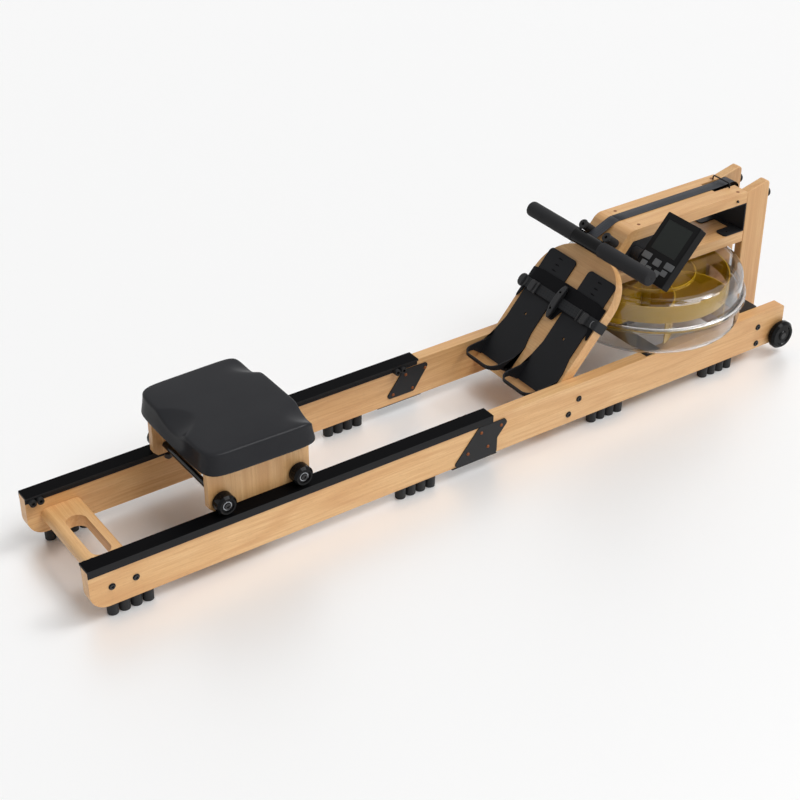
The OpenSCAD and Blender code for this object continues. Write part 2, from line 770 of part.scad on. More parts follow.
// Side outline: an inclined board whose top end bends over into the top board
module board_profile() polygon(rounded([
    [slope_x(board_low, 0), slope_z(board_low, 0)], [face_x(top_z), top_z],
    [joint_x, top_z], [joint_x - joint_slant, top_under], [face_x(top_under) + board_rear_dx, top_under],
    [slope_x(board_low, -board_thick), slope_z(board_low, -board_thick)]
], [0, hump_r, 0, 0, 0, 0], belt_turn_steps));

module footboard() color("burlywood") place() difference() {
    intersection() {
        slab(-board_half, board_half) board_profile();
        board_frame() translate([0, 0, -80]) linear_extrude(160) board_outline();
    }
    both_sides() board_frame() for (p = cleat_screws)
        translate([p[0], p[1], -board_thick - 1]) cylinder(r = screw_r + seat_gap / 2, h = 20);
}

// Block behind the board's foot that the rail bolts hold
module footboard_cleat() color("burlywood") place() difference() {
    board_frame() translate([cleat_low, -board_half, -board_thick - seat_gap - cleat_t])
        cube([cleat_high - cleat_low, 2 * board_half, cleat_t]);
    both_sides() for (b = cleat_bolts)
        rod(slope_x(b[0], b[1]), slope_z(b[0], b[1]), bolt_r + seat_gap, rail_in - bolt_reach - 1, rail_in + 1);
}

// Footplate: a thin plate that flares at the heel into a loop round it
module plate_outline() difference() {
    polygon(rounded([
        [plate_low, -heel_half], [20, -heel_half], [60, -plate_w / 2], [plate_top, -plate_w / 2],
        [plate_top, plate_w / 2], [60, plate_w / 2], [20, heel_half], [plate_low, heel_half]
    ], [4, 20, 20, plate_r, plate_r, 20, 20, 4]));
    for (s = plate_slots) translate([s, 0]) round_rect(slot_w, slot_run, slot_w / 2 - 0.05);
    translate([94, 0]) circle(4);
}

module heel_loop_plan(grow) translate([-heel_reach + heel_r, 0]) {
    translate([0, -heel_half - grow + heel_r])
        square([2 * heel_reach, 2 * (heel_half + grow - heel_r)]);
    for (s = [-1, 1]) translate([0, s * (heel_half + grow - heel_r)]) circle(heel_r);
    translate([-heel_r - grow, -heel_half - grow + heel_r])
        square([heel_r + grow, 2 * (heel_half + grow - heel_r)]);
    translate([0, -heel_half - grow]) square([2 * heel_reach, 2 * (heel_half + grow)]);
}

// Side view of the heel loop: deep where it leaves the plate, thin round the heel
module heel_loop_profile() polygon(rounded([
    [slope_x(plate_low, 0), slope_z(plate_low, 0)], [slope_x(2, 0), slope_z(2, 0)],
    [slope_x(2, 0) - 30, rail_top - 4], [slope_x(0, 0) - heel_reach - 5, rail_top - 11],
    [slope_x(0, 0) - heel_reach - 5, rail_top - 19], [slope_x(0, 0) - heel_reach + 35, rail_top - 24],
    [slope_x(0, 0) - heel_reach + 60, slope_z(plate_low, 0)]
], [0, 0, 0, 2, 2, 0, 0]));

module footplate(side) color([0.08, 0.08, 0.09]) place() for_side(side) {
    translate([0, plate_y, 0]) board_frame() translate([0, 0, seat_gap])
        linear_extrude(plate_thick) plate_outline();
    intersection() {
        slab(plate_y - heel_half - 2, plate_y + heel_half + 2) heel_loop_profile();
        translate([slope_x(0, 0), plate_y, 0]) linear_extrude(rail_top + 20) difference() {
            heel_loop_plan(0);
            translate([heel_wall, 0]) heel_loop_inner();
        }
        board_frame() translate([-200, -board_half, seat_gap]) cube([400, 2 * board_half, 300]);
    }
}

module heel_loop_inner() {
    w = heel_half - heel_wall;
    r = heel_r - heel_wall;
    translate([-heel_reach + r, 0]) {
        translate([0, -w]) square([3 * heel_reach, 2 * w]);
        translate([-r, -w + r]) square([r + 1, 2 * (w - r)]);
        for (s = [-1, 1]) translate([0, s * (w - r)]) circle(r);
    }
}

// Wide flexible band over both footplates, closed round the board's edges
module instep_band() color([0.07, 0.07, 0.08]) place() board_frame()
    translate([band_low, 0, 0]) rotate([90, 0, 90]) linear_extrude(band_high - band_low) difference() {
        translate([0, band_lift / 2]) round_rect(2 * (board_half - 1), band_lift + 2 * band_t, 3);
        translate([-board_half, -board_half + seat_gap]) square([2 * board_half, board_half]);
        translate([0, band_lift / 2]) round_rect(2 * (board_half - 1 - band_t), band_lift, 1);
    }

// Webbing strap that goes round the board and over the band, its end rolled up at the left edge
module foot_strap() color([0.1, 0.1, 0.11]) place() board_frame()
    translate([strap_s, 0, 0]) rotate([90, 0, 90]) linear_extrude(strap_w) difference() {
        union() {
            translate([0, (strap_over - strap_under) / 2])
                round_rect(2 * strap_out, strap_over + strap_under + 2 * strap_t, 5);
            translate([knob_y, knob_o]) circle(knob_r);
        }
        translate([0, (strap_over - strap_under) / 2])
            round_rect(2 * (strap_out - strap_t), strap_over + strap_under, 3);
    }

// Ladder buckle: a plate with two windows and a raised bar at each end
module buckle() {
    difference() {
        linear_extrude(buckle_t) round_rect(strap_w + 8, buckle_length, 3);
        for (j = [-1, 1]) translate([0, j * buckle_length / 6, -1])
            linear_extrude(buckle_t + 2) square([strap_w, buckle_length / 8], center = true);
    }
    for (j = [-1, 1]) translate([0, j * (buckle_length / 2 - buckle_bar_w / 2), 0])
        linear_extrude(buckle_bar_h) round_rect(strap_w + 8, buckle_bar_w, buckle_bar_w / 2 - 0.2);
}

// Ladder buckles on the strap, and the raised lens-shaped bar between the feet
module strap_fittings() color("black") place() board_frame() {
    for (s = [-1, 1])
        translate([strap_s + strap_w / 2, s * buckle_y, strap_over + strap_t + seat_gap]) buckle();
    difference() {
        intersection() {
            translate([(block_low + block_high) / 2, 0, band_top + seat_gap]) linear_extrude(block_top)
                round_rect(block_high - block_low, 2 * block_half, block_half - 0.2);
            slab(-block_half, block_half) polygon(rounded([
                [block_low, 0], [block_low, block_top - 8], [block_low + block_taper, block_top],
                [block_high - block_taper, block_top], [block_high, block_top - 8], [block_high, 0]
            ], [0, 3, 40, 40, 3, 0]));
        }
        translate([strap_s - seat_gap, -block_half - 1, 0])
            cube([strap_w + 2 * seat_gap, 2 * block_half + 2, strap_over + strap_t + seat_gap]);
        for (s = block_holes) translate([s, 0, 0]) cylinder(r = block_half / 2, h = block_top + 3);
    }
}

// Handle

module handle_frame() translate([handle_x, 0, handle_z]) children();

// Bar with a wider glossy middle, and a mouth that the belt's end goes into
module handle_bar() color([0.03, 0.03, 0.035]) place() handle_frame() difference() {
    union() {
        rod(0, 0, handle_core_r - 0.3, -handle_length / 2 + 3, handle_length / 2 - 3);
        rod(0, 0, grip_r - 1, -handle_bare_half, handle_bare_half);
    }
    rotate([0, -belt_rise, 0])
        translate([grip_r - handle_mouth, belt_y - belt_w / 2 - 1, -belt_t / 2 - seat_gap])
        cube([handle_mouth + 5, belt_w + 2, belt_t + 2 * seat_gap]);
}

// Foam grips: sleeves with rounded closed ends
module handle_grips() color([0.2, 0.2, 0.21]) place() handle_frame() both_sides()
    translate([0, handle_bare_half + seat_gap, 0]) rotate([-90, 0, 0]) rotate_extrude() polygon(concat(
        [[handle_core_r, 0]], [[grip_r - 1, 0], [grip_r, 1]],
        [for (a = [0:15:90]) [grip_r - 3 + 3 * cos(a), grip_span - 3 + 3 * sin(a)]],
        [[0, grip_span], [0, grip_span - 2.5], [handle_core_r, grip_span - 2.5]]
    ));

// Top, deck and uprights

module top_board() color("burlywood") place() difference() {
    slab(-neck_half, neck_half) polygon([
        [joint_x + seat_gap, top_z], [upright_x - seat_gap, top_z],
        [upright_x - seat_gap, top_under], [joint_x - joint_slant + seat_gap, top_under]
    ]);
    translate([notch_x, belt_y - notch_half, top_under - 1]) cube([100, 2 * notch_half, top_thick + 2]);
    both_sides() for (p = top_screws) translate([p[0], p[1], 0]) {
        translate([0, 0, top_z - screw_sink - seat_gap / 2]) cylinder(r = screw_head_r + seat_gap / 2, h = 5);
        translate([0, 0, top_under + 1]) cylinder(r = screw_r + seat_gap / 2, h = top_thick);
    }
    for (y = [-1, 1]) translate([bail_x, belt_y + y * bail_half, top_z - 12])
        cylinder(r = bail_r + seat_gap / 2, h = 20);
    rod(stud_x, stud_z, stud_r - 1 + seat_gap / 2, -neck_half - 1, -neck_half + 11);
}

module deck_board() color("burlywood") place() difference() {
    slab(-neck_half, neck_half) polygon([
        [face_x(deck_z) + board_rear_dx + seat_gap, deck_z], [upright_x - seat_gap, deck_z],
        [upright_x - seat_gap, deck_under], [face_x(deck_under) + board_rear_dx + seat_gap, deck_under]
    ]);
    translate([tank_x, 0, deck_under - 1]) cylinder(r = bearing_r + seat_gap, h = deck_thick + 2);
}

module upright(side) color("burlywood") place() for_side(side) slab(upright_in, neck_half) polygon(rounded([
    [upright_x, upright_low], [upright_back, upright_low],
    [upright_back, upright_peak - 4], [upright_back - 12, upright_peak],
    [upright_x, upright_peak - upright_slope]
], [0, 6, 12, 8, 0]));

// Folded steel: bracket behind the boards, and the bar and plate that the tank stands on
module steel_brackets() color("black") place() {
    difference() {
        union() {
            translate([upright_x - seat_gap - rear_plate_t, -neck_half, deck_z + seat_gap])
                cube([rear_plate_t, 2 * neck_half, top_under - deck_z - 2 * seat_gap]);
            translate([upright_x - seat_gap - 18, -neck_half, deck_z + seat_gap])
                cube([18, 2 * neck_half, rear_plate_t]);
            both_sides() translate([upright_x - 68, neck_half - 38, deck_z + seat_gap])
                linear_extrude(rear_plate_t) translate([34, 19]) round_rect(68 - 2 * seat_gap, 38, 9);
            both_sides() translate([upright_x - 60, neck_half - 18, top_under - seat_gap - rear_plate_t])
                linear_extrude(rear_plate_t) translate([30, 9]) round_rect(60 - 2 * seat_gap, 18, 6);
        }
        translate([upright_x - 10, belt_y - pulley_w / 2 - 5, top_under - 24]) cube([20, pulley_w + 10, 40]);
        both_sides() translate([upright_x - 46, neck_half - 18, deck_z - 1]) cylinder(r = 3, h = 10);
    }
    translate([cradle_x, -rail_in - cradle_over, rail_top])
        cube([cradle_w, 2 * (rail_in + cradle_over), cradle_t]);
    translate([crossboard_front - 22, -rail_in + seat_gap, rail_top])
        cube([upright_x - seat_gap - crossboard_front + 22, 2 * (rail_in - seat_gap), cradle_t]);
}

module rear_crossboard() color("burlywood") place() difference() {
    translate([crossboard_front, -rail_in + seat_gap, crossboard_low])
        cube([upright_x - seat_gap - crossboard_front, 2 * (rail_in - seat_gap), rail_top - crossboard_low]);
    both_sides() for (b = crossboard_bolts)
        rod(b[0], b[1], bolt_r + seat_gap, rail_in - bolt_reach - 1, rail_in + 1);
}

// Belt

// Corners of the belt's cross-section at p, with its width and its outer side given
function belt_ring(p, wide, out) = let (w = wide * belt_w / 2, o = out * belt_t / 2)
    [p - w - o, p + w - o, p + w + o, p - w + o];
// A ring on a bend of radius r about (x, z), at an angle above +X
function bend_ring(x, z, r, a) =
    belt_ring([x + r * cos(a), belt_y, z + r * sin(a)], [0, 1, 0], [cos(a), 0, sin(a)]);
// A ring a share t of the way from the pulley, where it lies flat, to the drum, where it stands
function twist_ring(t) = let (
    from = [pulley_x, belt_y, pulley_z - pulley_run], to = [tank_x, winding_r - belt_t / 2, drum_z],
    ease = t * t * (3 - 2 * t), a = 90 * ease,
    p = [for (i = [0:2]) from[i] + (to[i] - from[i]) * (i == 0 ? t : ease)]
) belt_ring(p, [0, cos(a), sin(a)], [0, sin(a), -cos(a)]);

// The belt: out of the handle, over the hump and the top board, round the pulley to the drum
module drive_belt() color([0.16, 0.17, 0.19]) place() {
    n = belt_turn_steps;
    mouth = grip_r - handle_mouth + 2;
    rings = concat(
        [belt_ring([handle_x + mouth * cos(belt_rise), belt_y, handle_z + mouth * sin(belt_rise)],
            [0, 1, 0], [-sin(belt_rise), 0, cos(belt_rise)])],
        [for (i = [0:n]) bend_ring(hump_cx, hump_cz, hump_run, 90 + belt_rise * (1 - i / n))],
        [belt_ring([pulley_x - pulley_lead, belt_y, top_z + belt_ride], [0, 1, 0], [0, 0, 1])],
        [for (i = [0:2 * n])
            bend_ring(pulley_x, pulley_z, pulley_run, 90 + lead_rise - (180 + lead_rise) * i / 2 / n)],
        [for (i = [1:n]) twist_ring(i / n)]
    );
    last = len(rings) - 1;
    polyhedron(
        points = [for (r = rings) each r],
        faces = concat(
            [[0, 1, 2], [0, 2, 3]],
            [for (i = [0:last - 1], j = [0:3]) [4 * i + j, 4 * i + 4 + j, 4 * i + (j + 1) % 4]],
            [for (i = [0:last - 1], j = [0:3])
                [4 * i + 4 + j, 4 * i + 4 + (j + 1) % 4, 4 * i + (j + 1) % 4]],
            [[4 * last + 2, 4 * last + 1, 4 * last], [4 * last + 3, 4 * last + 2, 4 * last]]
        )
    );
    translate([tank_x, 0, drum_z - belt_w / 2]) ring(winding_r, drum_core_r + seat_gap, belt_w);
}

module rear_pulley() color([0.1, 0.1, 0.1]) place() translate([pulley_x, belt_y - pulley_w / 2, pulley_z])
    rotate([-90, 0, 0]) rotate_extrude() polygon([
        [pulley_axle_r + run_gap, 0], [pulley_r + 2.5, 0], [pulley_r + 2.5, 1.2], [pulley_r, 1.2],
        [pulley_r, pulley_w - 1.2], [pulley_r + 2.5, pulley_w - 1.2], [pulley_r + 2.5, pulley_w],
        [pulley_axle_r + run_gap, pulley_w]
    ]);

// Folded bracket in the notch with the pulley's axle, and a wire bail that keeps the belt down
module pulley_bracket() color("black") place() {
    low = top_under - cheek_t - seat_gap;
    for (s = [-1, 1]) difference() {
        translate([0, belt_y + s * (cheek_gap + cheek_t / 2), 0]) slab(-cheek_t / 2, cheek_t / 2)
            polygon(rounded([
                [notch_x + 4, low], [pulley_x - 28, low],
                [pulley_x + 12, pulley_z - 12], [pulley_x + 12, pulley_z + 12],
                [pulley_x - 12, pulley_z + 12], [notch_x + 4, top_z - 4]
            ], [0, 0, 5, 8, 8, 3]));
        rod(pulley_x, pulley_z, pulley_axle_r + seat_gap, -100, 100);
    }
    translate([notch_x - 22, belt_y - notch_half - 6, top_under - seat_gap - cheek_t])
        cube([60, 2 * notch_half + 12, cheek_t]);
    rod(pulley_x, pulley_z, pulley_axle_r, belt_y - cheek_gap - cheek_t - 2, belt_y + cheek_gap + cheek_t + 2);
    for (s = [-1, 1]) translate([0, belt_y + s * (cheek_gap + cheek_t + 1.2), 0])
        rod(pulley_x, pulley_z, pulley_axle_r + 2, -1, 1);
    for (s = [-1, 1]) {
        translate([bail_x, belt_y + s * bail_half, top_z - 10])
            cylinder(r = bail_r, h = bail_top - top_z + 10 - 6);
        translate([bail_x, belt_y + s * (bail_half - 6), bail_top - 6]) rotate([90, 0, s * 90])
            rotate_extrude(angle = 90) translate([6, 0]) circle(bail_r);
    }
    rod(bail_x, bail_top, bail_r, belt_y - bail_half + 6, belt_y + bail_half - 6);
}

// Drum that the belt winds on, driving the shaft through a one-way clutch
module belt_drum() color([0.75, 0.75, 0.72]) place()
    translate([tank_x, 0, drum_low]) rotate_extrude() polygon([
        [shaft_r + run_gap, 0], [drum_rim_r, 0], [drum_rim_r, drum_rim_t], [drum_core_r, drum_rim_t],
        [drum_core_r, drum_rim_t + belt_w + 2], [drum_rim_r, drum_rim_t + belt_w + 2],
        [drum_rim_r, 2 * drum_rim_t + belt_w + 2], [shaft_r + run_gap, 2 * drum_rim_t + belt_w + 2]
    ]);

// Flanged sleeve bearing in the deck
module shaft_bearing() color([0.6, 0.6, 0.58]) place()
    translate([tank_x, 0, 0]) rotate_extrude() polygon([
    [shaft_r + run_gap, deck_under - 1], [bearing_r, deck_under - 1], [bearing_r, deck_z + seat_gap],
    [bearing_r + 14, deck_z + seat_gap], [bearing_r + 14, deck_z + 5], [bearing_r, deck_z + 7],
    [bearing_r - 3, drum_low - 0.5], [shaft_r + run_gap, drum_low - 0.5]
]);

// Tank

// Half section of the upper shell: flange, wall, round shoulder, flat roof and neck
module tank_upper() color([0.85, 0.92, 0.95, 0.35]) place() translate([tank_x, 0, 0]) rotate_extrude($fn = 128)
    polygon(concat(
        [[tank_r - tank_wall, tank_seam_z + seat_gap / 2], [tank_flange_r, tank_seam_z + seat_gap / 2],
         [tank_flange_r, tank_seam_z + tank_flange_t], [tank_r, tank_seam_z + tank_flange_t + 3]],
        [for (a = [0:10:90])
            [tank_r - tank_round + tank_round * cos(a), tank_top - tank_round + tank_round * sin(a)]],
        [[neck_r + 5, tank_top], [neck_r + 5, tank_top + 3.4],
         [neck_r, tank_top + 3.4], [neck_r, tank_top - tank_wall]],
        [for (a = [90:-10:0]) let (r = tank_round - tank_wall)
            [tank_r - tank_wall - r + r * cos(a), tank_top - tank_wall - r + r * sin(a)]]
    ));

module tank_lower() color([0.8, 0.86, 0.9, 0.35]) place() translate([tank_x, 0, 0]) rotate_extrude($fn = 128)
    polygon(concat(
        [[tank_r - tank_wall, tank_seam_z - seat_gap / 2], [tank_flange_r, tank_seam_z - seat_gap / 2],
         [tank_flange_r, tank_seam_z - tank_flange_t], [tank_r, tank_seam_z - tank_flange_t - 3]],
        [for (a = [0:10:90])
            [tank_r - tank_round + tank_round * cos(a), tank_floor + tank_round - tank_round * sin(a)]],
        [[0, tank_floor], [0, tank_floor + tank_wall]],
        [for (a = [90:-10:0]) let (r = tank_round - tank_wall)
            [tank_r - tank_wall - r + r * cos(a), tank_floor + tank_wall + r - r * sin(a)]]
    ));

// Impeller: shaft, hub, curved paddles and two rings
module impeller() color("gold") place() translate([tank_x, 0, 0]) {
    translate([0, 0, shaft_low]) cylinder(r = shaft_r, h = top_under - 2 - shaft_low);
    translate([0, 0, paddle_low - 4]) cylinder(r = hub_r, h = tank_top - 14 - paddle_low);
    translate([0, 0, ring_low]) ring(impeller_r, impeller_r - ring_t, ring_high - ring_low);
    translate([0, 0, ring_high - 9]) ring(inner_ring_r, inner_ring_r - ring_t, 9);
    for (i = [0:paddles - 1]) rotate([0, 0, i * 360 / paddles]) paddle();
}

// A paddle is an arc in plan that runs from the hub to the outer ring
module paddle() {
    chord = impeller_r - ring_t / 2 - hub_r + 3;
    half = asin(chord / 2 / paddle_r);
    translate([hub_r - 3 + chord / 2, -paddle_r * cos(half), 0]) rotate([0, 0, 90 - half])
        rotate_extrude(angle = 2 * half, $fn = 96)
            polygon([[paddle_r - paddle_t / 2, paddle_low], [paddle_r + paddle_t / 2, paddle_low],
                     [paddle_r + paddle_t / 2, paddle_high], [paddle_r - paddle_t / 2, paddle_high]]);
}

// Monitor

// Folded plate in the corner under the top board, with the boss that the monitor tilts on
module monitor_mount() color("black") place() {
    slab(-neck_half, -neck_half + mount_t) polygon(rounded([
        [mount_x(mount_high), mount_high], [mount_back, mount_high], [mount_back, mount_high - 14],
        [pivot_x + 12, mount_low], [mount_x(mount_low), mount_low]
    ], [0, 4, 6, 12, 0]));
    translate([mount_x(mount_high) + 4, -neck_half + 1, mount_high - mount_t])
        cube([mount_back - mount_x(mount_high) - 12, mount_flange, mount_t]);
    high = mount_high - 12;
    low = mount_low + 6;
    slab(-neck_half + 1, -neck_half + mount_flange) polygon([
        [mount_x(high), high], [mount_x(low), low],
        [mount_x(low) + mount_t, low], [mount_x(high) + mount_t, high]
    ]);
    rod(pivot_x, pivot_z, boss_r, -neck_half - boss_length, -neck_half + 1);
    rod(pivot_x, pivot_z, pivot_pin_r, monitor_y0 - pivot_pin_in, -neck_half);
}

module monitor_place() place() monitor_frame() translate([0, monitor_y0 - monitor_w / 2, 0]) children();

module button_shape(b, h, grow) linear_extrude(h) translate([monitor_h + face_low - b[2], -b[1]])
    round_rect(b[4] + 2 * grow, b[3] + 2 * grow, 2);

// Case with a sunk screen, a pocket for each button and a bore for the pivot pin
module monitor_body() color([0.05, 0.05, 0.06]) monitor_place() difference() {
    translate([face_low + monitor_h / 2, 0, -face_out]) {
        linear_extrude(monitor_d - 1.5) round_rect(monitor_h, monitor_w, 4);
        linear_extrude(monitor_d) round_rect(monitor_h - 3, monitor_w - 3, 3);
    }
    translate([monitor_h + face_low - screen_u1, -screen_v, face_out - screen_sink])
        cube([screen_u1 - screen_u0, 2 * screen_v, 5]);
    for (b = button_table) translate([0, 0, face_out - pocket_depth])
        button_shape(b, pocket_depth + 1, seat_gap);
    rod(0, 0, pivot_pin_r + run_gap, monitor_w / 2 - pivot_pin_in - 0.5, monitor_w / 2 + 1);
}

module button(i) color("gray") monitor_place() translate([0, 0, face_out - button_sink])
    button_shape(button_table[i], button_sink + button_rise, 0);

// Transport wheels

module transport_wheel(side) color([0.03, 0.03, 0.03]) place()
    translate([cart_x, 0, cart_z]) for_side(side)
    translate([0, cart_wheel_in, 0]) rotate([-90, 0, 0]) rotate_extrude() polygon([
        [axle_r + run_gap, 0], [cart_wheel_r - 4, 0], [cart_wheel_r, 5],
        [cart_wheel_r, cart_wheel_w - 7], [cart_wheel_r - 6, cart_wheel_w], [cart_wheel_r - 13, cart_wheel_w],
        [cart_wheel_r - 15, cart_wheel_w - 3], [cart_head_r + 5, cart_wheel_w - 3],
        [cart_head_r + 3, cart_wheel_w], [cart_head_r + 0.8, cart_wheel_w],
        [cart_head_r + 0.8, cart_wheel_w - cart_recess], [axle_r + run_gap, cart_wheel_w - cart_recess]
    ]);

rail_front("left");  // rail_front_left
rail_front("right");  // rail_front_right
rail_rear("left");  // rail_rear_left
rail_rear("right");  // rail_rear_right
track("left");  // track_left
track("right");  // track_right
splice_plates();
wood_screws();
seat_crossbar();
frame_bolts();
rubber_feet();
rubber_bumpers();
seat_cushion();
seat_tray();
carriage_side("left");  // carriage_side_left
carriage_side("right");  // carriage_side_right
carriage_rods();
seat_wheel(1, "left");  // seat_wheel_front_left
seat_wheel(1, "right");  // seat_wheel_front_right
seat_wheel(-1, "left");  // seat_wheel_rear_left
seat_wheel(-1, "right");  // seat_wheel_rear_right
guide_roller(1, "left");  // guide_roller_front_left
guide_roller(1, "right");  // guide_roller_front_right
guide_roller(-1, "left");  // guide_roller_rear_left
guide_roller(-1, "right");  // guide_roller_rear_right
footboard();
footboard_cleat();
footplate("left");  // footplate_left
footplate("right");  // footplate_right
instep_band();
foot_strap();
strap_fittings();
handle_bar();
handle_grips();
top_board();
deck_board();
upright("left");  // upright_left
upright("right");  // upright_right
steel_brackets();
rear_crossboard();
drive_belt();
rear_pulley();
pulley_bracket();
belt_drum();
shaft_bearing();
impeller();
tank_upper();
tank_lower();
monitor_mount();
monitor_body();
button(0);  // button_menu
button(1);  // button_select
button(2);  // button_back
button(3);  // button_time
button(4);  // button_distance
button(5);  // button_count
button(6);  // button_reset
transport_wheel("left");  // transport_wheel_left
transport_wheel("right");  // transport_wheel_right
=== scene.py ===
import math
import bpy
from mathutils import Matrix, Vector


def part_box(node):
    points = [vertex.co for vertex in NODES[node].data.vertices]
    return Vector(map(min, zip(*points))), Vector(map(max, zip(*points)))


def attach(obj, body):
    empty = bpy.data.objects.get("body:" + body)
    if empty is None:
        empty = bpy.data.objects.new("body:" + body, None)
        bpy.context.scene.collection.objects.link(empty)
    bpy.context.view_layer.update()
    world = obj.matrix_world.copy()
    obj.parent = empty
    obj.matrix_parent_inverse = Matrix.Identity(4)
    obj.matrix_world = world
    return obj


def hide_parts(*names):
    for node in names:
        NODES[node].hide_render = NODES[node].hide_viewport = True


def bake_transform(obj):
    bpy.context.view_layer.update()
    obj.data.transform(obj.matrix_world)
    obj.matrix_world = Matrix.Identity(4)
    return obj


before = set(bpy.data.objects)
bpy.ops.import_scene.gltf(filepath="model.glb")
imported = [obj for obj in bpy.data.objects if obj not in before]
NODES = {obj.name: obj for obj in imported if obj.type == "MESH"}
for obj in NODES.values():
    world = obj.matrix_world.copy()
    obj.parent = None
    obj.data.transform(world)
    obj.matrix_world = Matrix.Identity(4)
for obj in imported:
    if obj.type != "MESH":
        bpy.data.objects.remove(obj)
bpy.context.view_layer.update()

# Lengths are in millimetres in this script, with x measured from the seat end as in the CAD source
MM = 1000
HALF_LENGTH = 1050.25
TURN = 2 * math.pi
BOTH_SIDES = ((1, "left"), (-1, "right"))


def P(x, y, z):
    """A point of the row frame in metres."""
    return Vector(((x - HALF_LENGTH) / MM, y / MM, z / MM))


# Sizes that the CAD source gives: frame and footboard
RAIL_TOP = 140
RAIL_OUT = 179
END_BOLTS = ((53.6, 83.2), (111.9, 83.2), (1982.6, 98.6), (1982.6, 48.3))
BOARD_BOLTS_S, BOARD_BOLTS_O = (-10.6, -58.7), -56.5
BOARD_ANGLE = math.radians(49)
BOARD_FOOT_X = 1322.7
TOP_Z = 451.5
HUMP_R = 34
HUMP_X = BOARD_FOOT_X + (TOP_Z - HUMP_R - RAIL_TOP) / math.tan(BOARD_ANGLE) + HUMP_R / math.sin(BOARD_ANGLE)
HUMP_Z = TOP_Z - HUMP_R

# Handle, resting on its pegs
REST_GAP = 0.3
PEG_S = 367
PEG_R = 11.5
GRIP_R = 20.5
GRIP_HALF = 234.5
BARE_HALF = 50
HANDLE_S = PEG_S - PEG_R - GRIP_R - REST_GAP
HANDLE_O = 36

# Belt, rear pulley and winding
BELT_W = 33
BELT_T = 2.2
BELT_Y = 11.5
BELT_RIDE = BELT_T / 2 + REST_GAP
PULLEY_X = 2003
PULLEY_Z = 432.5
PULLEY_R = 22
WINDING_R = 33
DRUM_Z = 395.5

# Tank, seat and monitor
TANK_X = 1738
TANK_RIM_Z = 227.1
SEAT_X = 450
WHEEL_REACH = 100
PAD_Z = 260.3
MONITOR_ANGLE = math.radians(48.4)
MONITOR_X = 1612.5
MONITOR_Z = 387.5
MONITOR_W, MONITOR_H, MONITOR_T = 119, 177, 26.7
MONITOR_BELOW_AXIS = 45
NECK_HALF = 66
MOUNT_REACH = 30.7


def slope(s, y, o):
    """A point of the footboard's own frame: s up the slope, o out of its face."""
    return P(BOARD_FOOT_X + s * math.cos(BOARD_ANGLE) - o * math.sin(BOARD_ANGLE), y,
             RAIL_TOP + s * math.sin(BOARD_ANGLE) + o * math.cos(BOARD_ANGLE))


# Materials

def new_material(name, **values):
    """A material with its tree, shader and object coordinates."""
    m = bpy.data.materials.new(name)
    m.use_nodes = True
    tree = m.node_tree
    shader = tree.nodes["Principled BSDF"]
    for key, value in values.items():
        shader.inputs[key.replace("_", " ")].default_value = value
    coords = tree.nodes.new("ShaderNodeTexCoord").outputs["Object"]
    return m, tree, shader, coords


def node(tree, kind, inputs=None, **props):
    """A node whose inputs are given as values or as the sockets that feed them."""
    n = tree.nodes.new(kind)
    for key, value in props.items():
        setattr(n, key, value)
    for key, value in (inputs or {}).items():
        if isinstance(value, bpy.types.NodeSocket):
            tree.links.new(value, n.inputs[key])
        else:
            n.inputs[key].default_value = value
    return n


def maths(tree, operation, a, b=0.0):
    """The result of one operation on two numbers or sockets."""
    return node(tree, "ShaderNodeMath", {0: a, 1: b}, operation=operation).outputs[0]


def mapped(tree, coords, scale, location=(0, 0, 0), rotation=(0, 0, 0)):
    """Coordinates that are scaled, turned and moved."""
    return node(tree, "ShaderNodeMapping", {
        "Vector": coords, "Scale": scale, "Location": location, "Rotation": rotation}).outputs["Vector"]


def noise(tree, vector, scale, detail, rough=0.5, distortion=0.0):
    """The strength of a noise, from 0 to 1."""
    return node(tree, "ShaderNodeTexNoise", {
        "Vector": vector, "Scale": scale, "Detail": detail, "Roughness": rough,
        "Distortion": distortion}).outputs["Fac"]


def spread(tree, fac, low, high, to_low=0.0, to_high=1.0):
    """fac with its range from low to high stretched to a new one, and held at that one's ends."""
    return node(tree, "ShaderNodeMapRange", {
        "Value": fac, "From Min": low, "From Max": high,
        "To Min": to_low, "To Max": to_high}).outputs["Result"]


def mix(tree, share, under, over):
    """A share of one colour laid over another. Each colour is a value or a socket."""
    n = tree.nodes.new("ShaderNodeMix")
    n.data_type = "RGBA"
    factor, colour_a, colour_b = n.inputs[0], n.inputs[6], n.inputs[7]
    tree.links.new(share, factor)
    for socket, value in ((colour_a, under), (colour_b, over)):
        if isinstance(value, bpy.types.NodeSocket):
            tree.links.new(value, socket)
        else:
            socket.default_value = (*value, 1)
    return n.outputs[2]


def bump(tree, shader, height, distance, strength):
    """Fine relief on the shader, with the distance in metres."""
    n = node(tree, "ShaderNodeBump", {"Height": height, "Distance": distance, "Strength": strength})
    tree.links.new(n.outputs["Normal"], shader.inputs["Normal"])


